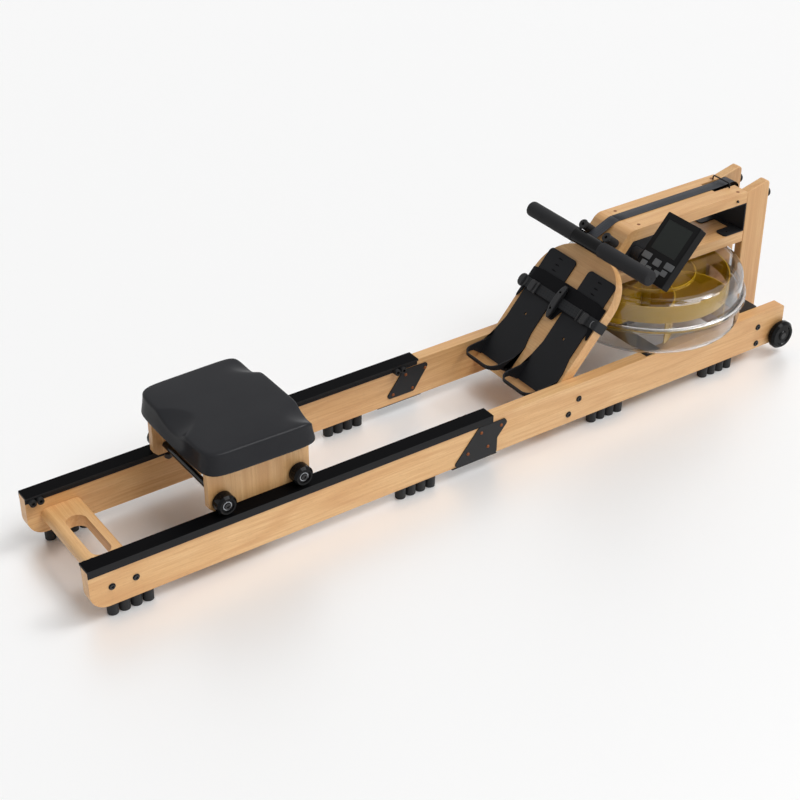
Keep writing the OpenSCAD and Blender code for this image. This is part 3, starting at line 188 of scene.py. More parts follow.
def wood(name, grain, seed, tone=1.0):
    """Oiled beech. grain is the axis that the fibres follow, and seed gives each board its own figure."""
    m, tree, shader, coords = new_material(name, Coat_Weight=0.12, Coat_Roughness=0.25)
    coords = mapped(tree, coords, (1, 1, 1), (seed, seed * 0.7, seed * 0.3))

    def along(run, across):
        return mapped(tree, coords, [run if i == grain else across for i in range(3)])

    light = (0.77 * tone, 0.455 * tone, 0.19 * tone)
    deep = (0.60 * tone, 0.285 * tone, 0.10 * tone)
    pale = (0.83 * tone, 0.535 * tone, 0.25 * tone)
    pore = (0.33, 0.165, 0.065)
    cloud = noise(tree, along(2.2, 11), 1.0, 3.0, 0.55)
    figure = noise(tree, along(0.8, 7.5), 1.0, 2.0, 0.45, 0.35)
    rings = maths(tree, "SINE", maths(tree, "MULTIPLY", figure, 60.0))
    fibre = noise(tree, along(14, 620), 1.0, 4.0, 0.6)
    streak = noise(tree, along(5, 190), 1.0, 3.0, 0.65)
    pores = noise(tree, along(90, 1500), 1.0, 1.0, 0.5)
    colour = mix(tree, spread(tree, cloud, 0.35, 0.65), light, pale)
    colour = mix(tree, spread(tree, rings, -0.2, 1.0, 0.0, 0.38), colour, deep)
    colour = mix(tree, spread(tree, streak, 0.42, 0.68, 0.0, 0.5), colour, deep)
    colour = mix(tree, spread(tree, fibre, 0.38, 0.62, 0.32, 0.0), colour, deep)
    colour = mix(tree, spread(tree, pores, 0.66, 0.74, 0.0, 0.45), colour, pore)
    tree.links.new(colour, shader.inputs["Base Color"])
    tree.links.new(spread(tree, fibre, 0.3, 0.7, 0.50, 0.36), shader.inputs["Roughness"])
    bump(tree, shader, fibre, 0.0002, 0.35)
    return m


def speckled(name, colour, other, rough=(0.4, 0.55), grain=900, depth=0.00012, strength=0.4, cells=False,
             **values):
    """Paint, moulded plastic, rubber or foam: a fine grain with a slow change of tone."""
    m, tree, shader, coords = new_material(name, **values)
    slow = noise(tree, coords, 9.0, 4.0, 0.6)
    if cells:
        fine = node(tree, "ShaderNodeTexVoronoi", {"Vector": coords, "Scale": grain}).outputs["Distance"]
    else:
        fine = noise(tree, coords, grain, 2.0, 0.5)
    tint = mix(tree, spread(tree, slow, 0.3, 0.7), colour, other)
    dark = [c * 0.6 for c in colour]
    tint = mix(tree, spread(tree, fine, 0.2, 0.8, 0.0, 0.22), tint, dark)
    tree.links.new(tint, shader.inputs["Base Color"])
    tree.links.new(spread(tree, slow, 0.3, 0.7, *rough), shader.inputs["Roughness"])
    bump(tree, shader, fine, depth, strength)
    return m


def brushed(name, colour, axis, rough, metallic, sides=None, **values):
    """Metal with fine lines along one axis. If sides is given, its upright faces take that lighter colour, a
    painted light as if they caught more light than its tops.
    """
    m, tree, shader, coords = new_material(name, Metallic=metallic, **values)
    lines = noise(tree, mapped(tree, coords, [12 if i == axis else 1400 for i in range(3)]), 1.0, 3.0, 0.6)
    slow = noise(tree, coords, 7.0, 3.0)
    tint = mix(tree, spread(tree, lines, 0.3, 0.7, 0.0, 0.5), colour, [c * 0.72 for c in colour])
    tint = mix(tree, spread(tree, slow, 0.3, 0.7, 0.0, 0.25), tint, [min(1, c * 1.25) for c in colour])
    # Painted light: faces that don't point up get the sides colour, lighter than the tops, with the lines
    # darkening it a little.
    if sides:
        facing = tree.nodes.new("ShaderNodeSeparateXYZ")
        tree.links.new(tree.nodes["Texture Coordinate"].outputs["Normal"], facing.inputs[0])
        painted_side_light = mix(tree, spread(tree, lines, 0.3, 0.7), sides, [c * 0.8 for c in sides])
        tint = mix(tree, spread(tree, facing.outputs["Z"], 0.5, 0.8), painted_side_light, tint)
    tree.links.new(tint, shader.inputs["Base Color"])
    tree.links.new(spread(tree, lines, 0.3, 0.7, *rough), shader.inputs["Roughness"])
    bump(tree, shader, lines, 0.00005, 0.3)
    return m


def webbing(name, colour, pitch, turn=(0, 0, 0), **values):
    """A flat weave: crossed ridges, darker between the yarns."""
    m, tree, shader, coords = new_material(name, **values)
    turned = mapped(tree, coords, (1, 1, 1), (0, 0, 0), turn)
    weft = node(tree, "ShaderNodeTexWave", {"Vector": turned, "Scale": pitch / 20, "Distortion": 0.4},
                bands_direction="X").outputs["Fac"]
    warp = node(tree, "ShaderNodeTexWave", {"Vector": turned, "Scale": pitch / 28, "Distortion": 0.4},
                bands_direction="Y").outputs["Fac"]
    yarn = maths(tree, "MAXIMUM", weft, warp)
    slow = noise(tree, coords, 14.0, 3.0)
    tint = mix(tree, spread(tree, slow, 0.3, 0.7), colour, [c * 1.35 for c in colour])
    dark = [c * 0.45 for c in colour]
    tint = mix(tree, spread(tree, yarn, 0.2, 1.0, 0.45, 0.0), tint, dark)
    tree.links.new(tint, shader.inputs["Base Color"])
    bump(tree, shader, yarn, 0.0002, 0.5)
    return m


def clear(name, tint, edge, rough=(0.015, 0.04), shadow=0.16, **values):
    """Clear moulded plastic, a little darker towards its edges. shadow is how much light it keeps back."""
    m, tree, shader, coords = new_material(name, Transmission_Weight=1.0, **values)
    rim = node(tree, "ShaderNodeLayerWeight", {"Blend": 0.3}).outputs["Facing"]
    slow = noise(tree, coords, 6.0, 3.0)
    tree.links.new(mix(tree, rim, tint, edge), shader.inputs["Base Color"])
    tree.links.new(spread(tree, slow, 0.3, 0.7, *rough), shader.inputs["Roughness"])
    shadow_ray = node(tree, "ShaderNodeLightPath").outputs["Is Shadow Ray"]
    tree.links.new(spread(tree, shadow_ray, 0.0, 1.0, 1.0, shadow), shader.inputs["Alpha"])
    m.use_transparent_shadow = True
    return m


LOOKS = {
    "wood_x": (wood, dict(grain=0, seed=1.3)),
    "wood_x2": (wood, dict(grain=0, seed=4.1, tone=0.97)),
    "wood_top": (wood, dict(grain=0, seed=7.7)),
    "wood_y": (wood, dict(grain=1, seed=2.9, tone=0.98)),
    "wood_z": (wood, dict(grain=2, seed=5.3, tone=0.97)),
    "wood_board": (wood, dict(grain=1, seed=9.4, tone=0.98)),
    # The tracks: near black on top, with a lighter sides colour on their upright faces that is painted light.
    "aluminium": (brushed, dict(
        colour=(0.0035, 0.0035, 0.004), sides=(0.032, 0.032, 0.033), axis=0, rough=(0.30, 0.42), metallic=0.0,
        Specular_IOR_Level=0.015)),
    "steel": (brushed, dict(colour=(0.34, 0.35, 0.37), axis=1, rough=(0.2, 0.3), metallic=0.7)),
    "copper": (brushed, dict(
        colour=(0.22, 0.07, 0.024), axis=2, rough=(0.35, 0.5), metallic=0.2, Specular_IOR_Level=0.1)),
    "black_steel": (speckled, dict(
        colour=(0.016, 0.016, 0.017), other=(0.022, 0.022, 0.024), rough=(0.36, 0.48), grain=700,
        depth=0.0001, Specular_IOR_Level=0.15)),
    "black_oxide": (speckled, dict(
        colour=(0.006, 0.006, 0.0065), other=(0.010, 0.010, 0.011), rough=(0.12, 0.18), depth=0.00004,
        Specular_IOR_Level=0.3)),
    "rubber": (speckled, dict(
        colour=(0.016, 0.016, 0.017), other=(0.022, 0.022, 0.023), rough=(0.55, 0.68), grain=800,
        depth=0.0001, Specular_IOR_Level=0.25)),
    "seat_skin": (speckled, dict(
        colour=(0.0205, 0.021, 0.024), other=(0.0245, 0.025, 0.028), rough=(0.34, 0.42), grain=1100,
        depth=0.00008, strength=0.3, cells=True, Specular_IOR_Level=0.01, Coat_Weight=0.2,
        Coat_Roughness=0.18)),
    "seat_pan": (speckled, dict(colour=(0.012, 0.012, 0.012), other=(0.018, 0.018, 0.018), rough=(0.5, 0.6))),
    "gloss": (speckled, dict(
        colour=(0.004, 0.004, 0.0045), other=(0.006, 0.006, 0.0065), rough=(0.07, 0.11), grain=300,
        depth=0.00002, strength=0.15, Specular_IOR_Level=0.10)),
    "roller": (speckled, dict(colour=(0.02, 0.02, 0.021), other=(0.03, 0.03, 0.031), rough=(0.45, 0.55))),
    "footplate": (speckled, dict(
        colour=(0.012, 0.0125, 0.014), other=(0.016, 0.0165, 0.019), rough=(0.45, 0.55), grain=700,
        depth=0.0001, Specular_IOR_Level=0.12)),
    "fitting": (speckled, dict(
        colour=(0.012, 0.012, 0.013), other=(0.018, 0.018, 0.02), rough=(0.35, 0.45), grain=600,
        depth=0.00008, Specular_IOR_Level=0.3)),
    "band": (speckled, dict(
        colour=(0.004, 0.004, 0.005), other=(0.006, 0.006, 0.007), rough=(0.5, 0.6), depth=0.0001,
        strength=0.5, cells=True, Specular_IOR_Level=0.06)),
    "foam": (speckled, dict(
        colour=(0.018, 0.018, 0.0195), other=(0.023, 0.023, 0.025), rough=(0.65, 0.8), grain=650,
        depth=0.00025, strength=0.5, cells=True, Specular_IOR_Level=0.2)),
    "drum": (speckled, dict(colour=(0.48, 0.48, 0.46), other=(0.55, 0.55, 0.53), rough=(0.4, 0.5))),
    "rotor": (speckled, dict(
        colour=(0.76, 0.46, 0.008), other=(0.82, 0.52, 0.016), rough=(0.18, 0.3), grain=200, depth=0.00005,
        strength=0.2, Transmission_Weight=0.45, Coat_Weight=0.2)),
    "case": (speckled, dict(
        colour=(0.006, 0.006, 0.0065), other=(0.009, 0.009, 0.0095), rough=(0.35, 0.45), grain=800,
        depth=0.0001, Specular_IOR_Level=0.08)),
    "key": (speckled, dict(
        colour=(0.12, 0.125, 0.13), other=(0.15, 0.155, 0.16), rough=(0.5, 0.6), depth=0.0001,
        Specular_IOR_Level=0.3)),
    "screen": (speckled, dict(
        colour=(0.014, 0.017, 0.0155), other=(0.018, 0.022, 0.020), rough=(0.3, 0.38), grain=1500,
        depth=0.00002, strength=0.1, Specular_IOR_Level=0.15)),
    "strap": (webbing, dict(
        colour=(0.022, 0.023, 0.025), pitch=900, turn=(0, BOARD_ANGLE, 0), Roughness=0.62,
        Specular_IOR_Level=0.15)),
    "belt": (webbing, dict(
        colour=(0.026, 0.028, 0.034), pitch=1100, Roughness=0.5, Specular_IOR_Level=0.25)),
    "tank": (clear, dict(
        tint=(0.80, 0.80, 0.80), edge=(0.60, 0.60, 0.62), IOR=1.45, Specular_IOR_Level=0.35)),
}
MAT = {name: make(name, **values) for name, (make, values) in LOOKS.items()}

# Looks of the CAD nodes, by name or by a word in the name
NODE_LOOKS = {
    "seat_crossbar": "wood_y", "footboard_cleat": "wood_y", "rear_crossboard": "wood_y",
    "top_board": "wood_top", "deck_board": "wood_top", "footboard": "wood_board",
    "frame_bolts": "black_oxide", "carriage_rods": "black_oxide", "wood_screws": "copper",
    "splice_plates": "black_steel", "steel_brackets": "black_steel", "pulley_bracket": "black_steel",
    "monitor_mount": "black_steel", "monitor_body": "case", "seat_tray": "seat_pan",
    "handle_bar": "gloss", "rear_pulley": "gloss", "belt_drum": "drum", "shaft_bearing": "drum",
    "strap_fittings": "fitting", "impeller": "rotor", "tank_upper": "tank", "tank_lower": "tank",
}
WORD_LOOKS = {
    "rail_front": "wood_x", "rail_rear": "wood_x2", "carriage_side": "wood_z", "upright": "wood_z",
    "track": "aluminium", "footplate": "footplate", "button": "key", "guide_roller": "roller",
    "wheel": "gloss",
}

# Rounding of edges by look, and of some boards more than their look gives
EDGES = {"wood": 1.6, "aluminium": 0.5, "case": 0.8, "key": 0.5, "footplate": 0.5}
ROUNDER = {"seat_crossbar": 4.5, "top_board": 3, "upright_left": 3.5, "upright_right": 3.5, "footboard": 2.5}


def look_of(name):
    """The look of a CAD node. The feet, the bumpers and the nodes that finer pieces replace are rubber."""
    if name in NODE_LOOKS:
        return NODE_LOOKS[name]
    for word, look in WORD_LOOKS.items():
        if word in name:
            return look
    return "rubber"


def round_edges(obj, width):
    """Small rounded edges on a sawn board, track or moulded part, with its flat faces kept flat."""
    weld = obj.modifiers.new("weld", "WELD")
    weld.merge_threshold = 0.00001
    flat = obj.modifiers.new("flat", "DECIMATE")
    flat.decimate_type = "DISSOLVE"
    flat.angle_limit = math.radians(0.5)
    edge = obj.modifiers.new("edge", "BEVEL")
    edge.width = width / MM
    edge.segments = 3
    edge.limit_method = "ANGLE"
    edge.angle_limit = math.radians(40)
    normals = obj.modifiers.new("normals", "WEIGHTED_NORMAL")
    normals.keep_sharp = True


def dress_nodes():
    """Looks and rounded edges of the CAD's nodes."""
    for name, obj in NODES.items():
        look = look_of(name)
        obj.data.materials.clear()
        obj.data.materials.append(MAT[look])
        width = ROUNDER.get(name) or EDGES.get("wood" if look.startswith("wood") else look)
        if width:
            round_edges(obj, width)


dress_nodes()


# Pieces

def piece(name, verts, faces, look, body, slot=None, smooth=True, levels=0):
    """A piece from points in metres. It rides on a body where one is given, and levels subdivides it."""
    mesh = bpy.data.meshes.new(name)
    mesh.from_pydata([tuple(v) for v in verts], [], faces)
    mesh.validate()
    mesh.polygons.foreach_set("use_smooth", [smooth] * len(mesh.polygons))
    obj = bpy.data.objects.new(name, mesh)
    bpy.context.scene.collection.objects.link(obj)
    obj.data.materials.append(MAT[look])
    if levels:
        sub = obj.modifiers.new("round", "SUBSURF")
        sub.levels = sub.render_levels = levels
    if body:
        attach(obj, body)
    return obj


def swept(rings, close_ends=True):
    """Faces of a skin over rings of the same number of points."""
    n = len(rings[0])
    verts = [p for r in rings for p in r]
    faces = [(k * n + i, k * n + (i + 1) % n, (k + 1) * n + (i + 1) % n, (k + 1) * n + i)
             for k in range(len(rings) - 1) for i in range(n)]
    if close_ends:
        faces.append(tuple(reversed(range(n))))
        faces.append(tuple(range((len(rings) - 1) * n, len(rings) * n)))
    return verts, faces


def looped(rings):
    """Faces of a skin over rings whose last one joins the first."""
    verts, faces = swept(rings + [rings[0]], False)
    count = len(rings) * len(rings[0])
    return verts[:count], [tuple(v % count for v in f) for f in faces]


def turned_over(faces):
    """The same faces seen from their other side."""
    return [tuple(reversed(f)) for f in faces]


def lathe(profile, sides, origin, axis):
    """A closed profile of (radius, height) turned round the y or z axis through origin."""
    x, y, z = origin
    rings = []
    for i in range(sides):
        a = TURN * i / sides
        if axis == "z":
            rings.append([P(x + r * math.cos(a), y + r * math.sin(a), z + h) for r, h in profile])
        else:
            rings.append([P(x + r * math.cos(a), y + h, z + r * math.sin(a)) for r, h in profile])
    return looped(rings)


def smooth_step(t):
    """An even step from 0 to 1, level at both ends."""
    t = max(0.0, min(1.0, t))
    return t * t * (3 - 2 * t)


# Seat cushion: a rounded square, flared downwards, with scoops for the tail bone and the thighs
PAD_LENGTH, PAD_BACK, PAD_FRONT = 284, 172, 179
PAD_HEIGHT, PAD_CROWN, PAD_FLARE = 57, 3, 7
PAD_WELL = 12.1
PAD_SIDES = 288
PAD_STEPS = 56
PAD_SQUARE = 8
PAD_SHOULDER = 10
# The soft rim as shares of the outline and drops below the top, and the drops down the side
PAD_RIM = ((0.960, 0.1), (0.971, 0.5), (0.981, 1.3), (0.9895, 2.6), (0.996, 4.3), (0.9992, 6.4), (1, 8.5))
PAD_SIDE_DROPS = (18, 28, 40, 50)
THIGH_Y = 129


def pad_edge(a):
    """The cushion's outline at an angle, as x and y from its middle."""
    c, s = math.cos(a), math.sin(a)
    k = (abs(c) ** PAD_SQUARE + abs(s) ** PAD_SQUARE) ** (-1 / PAD_SQUARE)
    half = (PAD_BACK + PAD_FRONT) / 2 + k * c * (PAD_FRONT - PAD_BACK) / 2
    return k * c * PAD_LENGTH / 2, k * s * half


def scoop(inset, y, reach, half, depth, soft):
    """Depth of a scoop in the top's edge: none inside its curved border, then a steady slope outward."""
    t = 1 - inset / reach - (y / half) ** 2
    return depth * (t + math.sqrt(t * t + soft * soft)) / 2


def pad_rise(share, x, y):
    """Height of the crowned and scooped top over a flat one. share is 0 in the middle and 1 at the edge."""
    tail = scoop(PAD_LENGTH / 2 + x, y, reach=58, half=68, depth=20, soft=0.07)
    thigh = scoop(PAD_LENGTH / 2 - x, abs(y) - THIGH_Y, reach=54, half=52, depth=24, soft=0.26)
    return PAD_CROWN * (1 - share ** 4) - tail - thigh


def pad_ring(share, grow, height):
    """A share of the cushion's outline, grown outward, at a height that depends on x and y."""
    ring = []
    for i in range(PAD_SIDES):
        x, y = pad_edge(TURN * i / PAD_SIDES)
        r = math.hypot(x, y)
        z = height(x * share, y * share)
        ring.append(P(SEAT_X + (x * share + grow * x / r), y * share + grow * y / r, PAD_Z + z))
    return ring


def seat_cushion():
    """The moulded cushion with its soft rim, flared sides and the well in its underside."""
    low = PAD_HEIGHT - PAD_CROWN
    steps = [(i / PAD_STEPS, 0) for i in range(3, PAD_STEPS - 3)] + list(PAD_RIM)
    steps += [(1, drop) for drop in PAD_SIDE_DROPS]
    rings = []
    for share, drop in steps:
        grow = PAD_FLARE * max(0, (drop - PAD_SHOULDER) / (low - PAD_SHOULDER)) ** 1.2
        rings.append(pad_ring(share, grow,
                              lambda x, y: low - drop + pad_rise(share, x, y) * (1 - drop / low)))
    for inset, z in ((0.6, 0.6), (2, 0.0), (6.5, 0.0), (7, PAD_WELL)):
        rings.append(pad_ring(1, PAD_FLARE - inset, lambda x, y: z))
    verts, faces = swept(rings, False)
    n = len(verts)
    verts += [P(SEAT_X, 0, PAD_Z + PAD_HEIGHT), P(SEAT_X, 0, PAD_Z + PAD_WELL)]
    last = (len(rings) - 1) * PAD_SIDES
    faces = turned_over(faces)
    faces += [(n, i, (i + 1) % PAD_SIDES) for i in range(PAD_SIDES)]
    faces += [(n + 1, last + (i + 1) % PAD_SIDES, last + i) for i in range(PAD_SIDES)]
    pad = piece("seat_pad", verts, faces, "seat_skin", "carriage", "seat_foam")
    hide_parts("seat_cushion")


seat_cushion()

# Handle
HANDLE = slope(HANDLE_S, 0, HANDLE_O)
HANDLE_X = HANDLE.x * MM + HALF_LENGTH
HANDLE_Z = HANDLE.z * MM
GRIP_WALL = 4.0
GRIP_RIPPLE = 0.12
GRIP_RIPPLES = 12


def grip_profile():
    """A grip's radius along the handle: a soft lip, faint ripples and a closed round end."""
    start, end = BARE_HALF + REST_GAP, GRIP_HALF
    first, last = start + 1.4, end - 4
    profile = [(GRIP_R - GRIP_WALL, start), (GRIP_R - 1.2, start), (GRIP_R - 0.3, start + 0.4)]
    profile.append((GRIP_R, first))
    for i in range(1, GRIP_RIPPLES):
        profile.append((GRIP_R - GRIP_RIPPLE * math.sin(i * 2.1), first + (last - first) * i / GRIP_RIPPLES))
    profile += [(GRIP_R, last), (GRIP_R - 0.8, end - 1.6), (GRIP_R - 2.6, end - 0.3), (GRIP_R - 5, end)]
    return profile + [(4, end), (0.01, end - 0.2), (0.01, end - 2.4), (GRIP_R - GRIP_WALL, end - 2.4)]


def handle_grips():
    """Foam grips on the bar, closed at their outer ends."""
    for side, word in reversed(BOTH_SIDES):
        profile = [(r, side * y) for r, y in grip_profile()]
        verts, faces = lathe(profile, 64, (HANDLE_X, 0, HANDLE_Z), "y")
        if side < 0:
            faces = turned_over(faces)
        grip = piece(f"grip_{word}", verts, faces, "foam", "handle", "foam")
        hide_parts("handle_grips")


handle_grips()

# Belt, from the handle over the top board and round the rear pulley to the drum's winding
BELT_MOUTH = 10.5
BELT_LEAD = 50
BELT_CREST = P(HUMP_X, BELT_Y, TOP_Z + BELT_RIDE)
COIL_TURNS = 3.4
COIL_GAP = 0.25
COIL_THIN = 0.8
ACROSS = Vector((0, 1, 0))
UP = Vector((0, 0, 1))


def flat_ring(p, wide, out, width=BELT_W, thick=BELT_T):
    """Cross-section of a flat belt with rounded edges, as eight points in metres."""
    w, t = width / 2 / MM, thick / 2 / MM
    c = min(w, t) * 0.6
    corners = ((-w, t - c), (-w + c, t), (w - c, t), (w, t - c), (w, -t + c), (w - c, -t), (-w + c, -t),
               (-w, -t + c))
    return [p + wide * a + out * b for a, b in corners]


def straight_rings(start, end, out, steps):
    """Sections of the belt from start up to, but not at, the end."""
    return [flat_ring(start.lerp(end, i / steps), ACROSS, out) for i in range(steps)]


def arc_rings(x, z, radius, start, sweep, steps=24):
    """Sections of the belt round a middle at x and z."""
    rings = []
    for i in range(steps + 1):
        a = start + sweep * i / steps
        out = Vector((math.cos(a), 0, math.sin(a)))
        rings.append(flat_ring(P(x + radius * math.cos(a), BELT_Y, z + radius * math.sin(a)), ACROSS, out))
    return rings


def belt_front():
    """The run that lengthens with the pull: from the handle to the crest of the top board."""
    run = HUMP_R + BELT_RIDE
    reach = math.hypot(HUMP_X - HANDLE_X, HUMP_Z - HANDLE_Z)
    rise = math.atan2(HUMP_Z - HANDLE_Z, HUMP_X - HANDLE_X) + math.asin(run / reach)
    first = P(HANDLE_X + BELT_MOUTH * math.cos(rise), BELT_Y, HANDLE_Z + BELT_MOUTH * math.sin(rise))
    a0 = math.pi / 2 + rise
    touch = P(HUMP_X + run * math.cos(a0), BELT_Y, HUMP_Z + run * math.sin(a0))
    rings = straight_rings(first, touch, Vector((-math.sin(rise), 0, math.cos(rise))), 16)
    rings += arc_rings(HUMP_X, HUMP_Z, run, a0, -rise)
    pull = piece("belt_front", *swept(rings), "belt", None, "belt_webbing")
    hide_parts("drive_belt")
    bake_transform(pull)


def belt_back():
    """The run along the top board, round the rear pulley and back to the drum with a quarter twist."""
    run = PULLEY_R + BELT_RIDE
    lead = P(PULLEY_X - BELT_LEAD, BELT_Y, TOP_Z + BELT_RIDE)
    lead_rise = math.atan((PULLEY_Z + run - TOP_Z - BELT_RIDE) / BELT_LEAD)
    rings = straight_rings(BELT_CREST, lead, UP, 12) + [flat_ring(lead, ACROSS, UP)]
    rings += arc_rings(PULLEY_X, PULLEY_Z, run, math.pi / 2 + lead_rise, -math.pi - lead_rise)
    under = PULLEY_Z - run
    winding_y = WINDING_R - BELT_T / 2
    steps = 24
    for i in range(1, steps + 1):
        ease = smooth_step(i / steps)
        a = math.pi / 2 * ease
        middle = P(PULLEY_X + (TANK_X - PULLEY_X) * i / steps, BELT_Y + (winding_y - BELT_Y) * ease,
                   under + (DRUM_Z - under) * ease)
        rings.append(flat_ring(middle, Vector((0, math.cos(a), math.sin(a))),
                               Vector((0, math.sin(a), -math.cos(a)))))
    back = piece("belt_back", *swept(rings), "belt", "frame", "belt_webbing")
    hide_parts("drive_belt")


def belt_coil():
    """The belt's winding round the drum."""
    pitch = (BELT_T + COIL_GAP) * COIL_THIN
    rings = []
    steps = 160
    for i in range(steps + 1):
        turns = COIL_TURNS * i / steps
        a = math.pi / 2 - TURN * turns
        r = WINDING_R - BELT_T / 2 - pitch * turns
        out = Vector((math.cos(a), math.sin(a), 0))
        rings.append(flat_ring(P(TANK_X + r * math.cos(a), r * math.sin(a), DRUM_Z), UP, out, BELT_W,
                               BELT_T * COIL_THIN))
    coil = piece("belt_coil", *swept(rings), "belt", "frame", "belt_webbing")
    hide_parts("drive_belt")


belt_front()
belt_back()
belt_coil()

# Foot strap and its fittings, in the footboard's frame: s up the slope, y across, o out of its face
STRAP_S = 153
STRAP_W = 27
STRAP_T = 2
STRAP_HALF = 151.5
STRAP_OVER = 8.3
STRAP_UNDER = 30.3
BUCKLE_S = 165
BLOCK_HOLES_S = (141.7, 188.9)
SIZE_SLOTS_S = 245


def loop_path(half, top, under, radius, steps):
    """Points (y, o) round a rounded rectangle, from the middle of its underside."""
    cy, ct, cb = half - radius, top - radius, -under + radius
    points = [(0, -under)]
    for y0, o0, a0 in ((cy, cb, -90), (cy, ct, 0), (-cy, ct, 90), (-cy, cb, 180)):
        for i in range(steps + 1):
            a = math.radians(a0 + 90 * i / steps)
            points.append((y0 + radius * math.cos(a), o0 + radius * math.sin(a)))
    return points


def spaced(points, step):
    """The same closed path with points no further apart than step."""
    out = []
    for i, a in enumerate(points):
        b = points[(i + 1) % len(points)]
        n = max(1, int(math.dist(a, b) / step))
        out += [(a[0] + (b[0] - a[0]) * j / n, a[1] + (b[1] - a[1]) * j / n) for j in range(n)]
    return out


def strap():
    """The strap over the footplates and round the board."""
    middle, lift = STRAP_S + STRAP_W / 2, STRAP_T / 2
    path = spaced(loop_path(STRAP_HALF - lift, STRAP_OVER + lift, STRAP_UNDER + lift, radius=4, steps=5), 6)
    rings = []
    for i, (y, o) in enumerate(path):
        ay, ao = path[i - 1]
        by, bo = path[(i + 1) % len(path)]
        d = math.hypot(by - ay, bo - ao)
        centre = slope(middle, y, o)
        out = slope(middle, y + (bo - ao) / d, o - (by - ay) / d) - centre
        wide = slope(middle + 1, y, o) - centre
        rings.append(flat_ring(centre, wide.normalized(), out.normalized(), STRAP_W, STRAP_T))
    obj = piece("webbing_strap", *looped(rings), "strap", "frame", "webbing", levels=1)
    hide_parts("foot_strap")


strap()


def pillow(name, middle, half, low, high, look, square, edge, arch=0.0, body="frame"):
    """A rounded block on the footboard, from low to high out of it.

    middle and half are its place and half size along the slope and across. A greater square makes its
    outline squarer, edge rounds its rim, and arch is how far its ends drop.
    """
    sides = 48
    inset = edge / min(half)
    steps = [(1.0 - inset, low), (1.0, low + edge), (1.0, high - edge)]
    steps += [(1 - inset * (1 - math.cos(a)), high - edge + edge * math.sin(a))
              for a in (math.radians(30), math.radians(60), math.radians(90))]
    steps += [(share, high) for share in (0.6, 0.3, 0.05)]
    rings = []
    for share, o in steps:
        ring = []
        for i in range(sides):
            a = TURN * i / sides
            c, t = math.cos(a), math.sin(a)
            k = share * (abs(c) ** square + abs(t) ** square) ** (-1 / square)
            sag = arch * (k * c) ** 2 * (o - low) / (high - low)
            ring.append(slope(middle[0] + half[0] * k * c, middle[1] + half[1] * k * t, o - sag))
        rings.append(ring)
    return piece(name, *swept(rings), look, body)


def cut_holes(obj, centres, radius, low, high):
    """Round holes on the board's middle line through a piece, cut once and kept in its mesh."""
    angles = [TURN * i / 24 for i in range(24)]
    circle = [(radius * math.cos(a), radius * math.sin(a)) for a in angles]
    for s0 in centres:
        verts, faces = swept([[slope(s0 + s, y, o) for s, y in circle] for o in (low, high)])
        mesh = bpy.data.meshes.new("cutter")
        mesh.from_pydata([tuple(v) for v in verts], [], faces)
        cutter = bpy.data.objects.new("cutter", mesh)
        bpy.context.scene.collection.objects.link(cutter)
        hole = obj.modifiers.new("hole", "BOOLEAN")
        hole.operation = "DIFFERENCE"
        hole.object = cutter
        bpy.context.view_layer.update()
        cut = bpy.data.meshes.new_from_object(obj.evaluated_get(bpy.context.evaluated_depsgraph_get()))
        obj.modifiers.clear()
        obj.data = cut
        bpy.data.objects.remove(cutter)


def strap_fittings():
    """The block between the feet and a buckle over each foot."""
    block = pillow("strap_block", (164.2, 0), (46.8, 9.5), 8.4, 25, "fitting", square=3, edge=2.8, arch=7)
    cut_holes(block, BLOCK_HOLES_S, 3.5, 14, 30)
    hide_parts("strap_fittings")
    for side, word in BOTH_SIDES:
        base = pillow(f"buckle_base_{word}", (BUCKLE_S, side * 100), (15.5, 17), 9.4, 11.8, "fitting",
                      square=5, edge=0.8)
        inner = pillow(f"buckle_bar_{word}", (BUCKLE_S, side * 85.5), (16.5, 3), 9.6, 16, "fitting",
                       square=4, edge=1.4)
        outer = pillow(f"buckle_grip_{word}", (BUCKLE_S, side * 106), (16, 9.5), 9.6, 15.4, "fitting",
                       square=4, edge=2.2, arch=1.5)
        for part in (base, inner, outer):
            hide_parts("strap_fittings")


def wire_arch(name, look, middle, base, reach, height, y, wire):
    """Half an oval of round wire that stands on the strap."""
    rings = []
    for i in range(19):
        a = math.pi * i / 18
        s, o = middle + reach * math.cos(a), base + height * math.sin(a)
        ring = []
        for j in range(10):
            b = TURN * j / 10
            r = wire * math.cos(b)
            ring.append(slope(s + r * math.cos(a), y + wire * math.sin(b), o + r * math.sin(a)))
        rings.append(ring)
    return piece(name, *swept(rings), look, "frame")


def strap_ends():
    """The strap's tab and folded end at one side of the board, and at the other a small wire loop in light
    grey, a painted highlight where the strap's edge catches light.
    """
    tab = pillow("strap_tab", (BUCKLE_S, 145), (18, 17), 9.5, 12, "fitting", square=2.2, edge=1.0)
    fold = pillow("strap_fold", (166, 141.5), (16, 4), 11, 15.5, "strap", square=3, edge=1.8)
    # Painted highlight: the light grey of this small loop stands in for light caught by the strap's edge.
    loop = wire_arch("strap_loop_painted_highlight", "key", middle=164.5, base=9.4, reach=9, height=6.5, y=-137, wire=1.1)
    for part in (tab, fold, loop):
        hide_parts("foot_strap")


def slot_shade_sheets():
    """Dark sheets under the size slots of each footplate: painted shade, so the slots look dark as if in deep
    shadow.
    """
    for _, word in BOTH_SIDES:
        low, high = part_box(f"footplate_{word}")
        middle = (SIZE_SLOTS_S, (low[1] + high[1]) / 2 * MM)
        # Painted shade: a near black sheet that darkens the slots above it.
        pillow(f"slot_shade_sheet_{word}", middle, (23, 9), 0.5, 1.3, "band", square=4, edge=0.3,
               body=f"footrest_{word}")


strap_fittings()
strap_ends()
slot_shade_sheets()

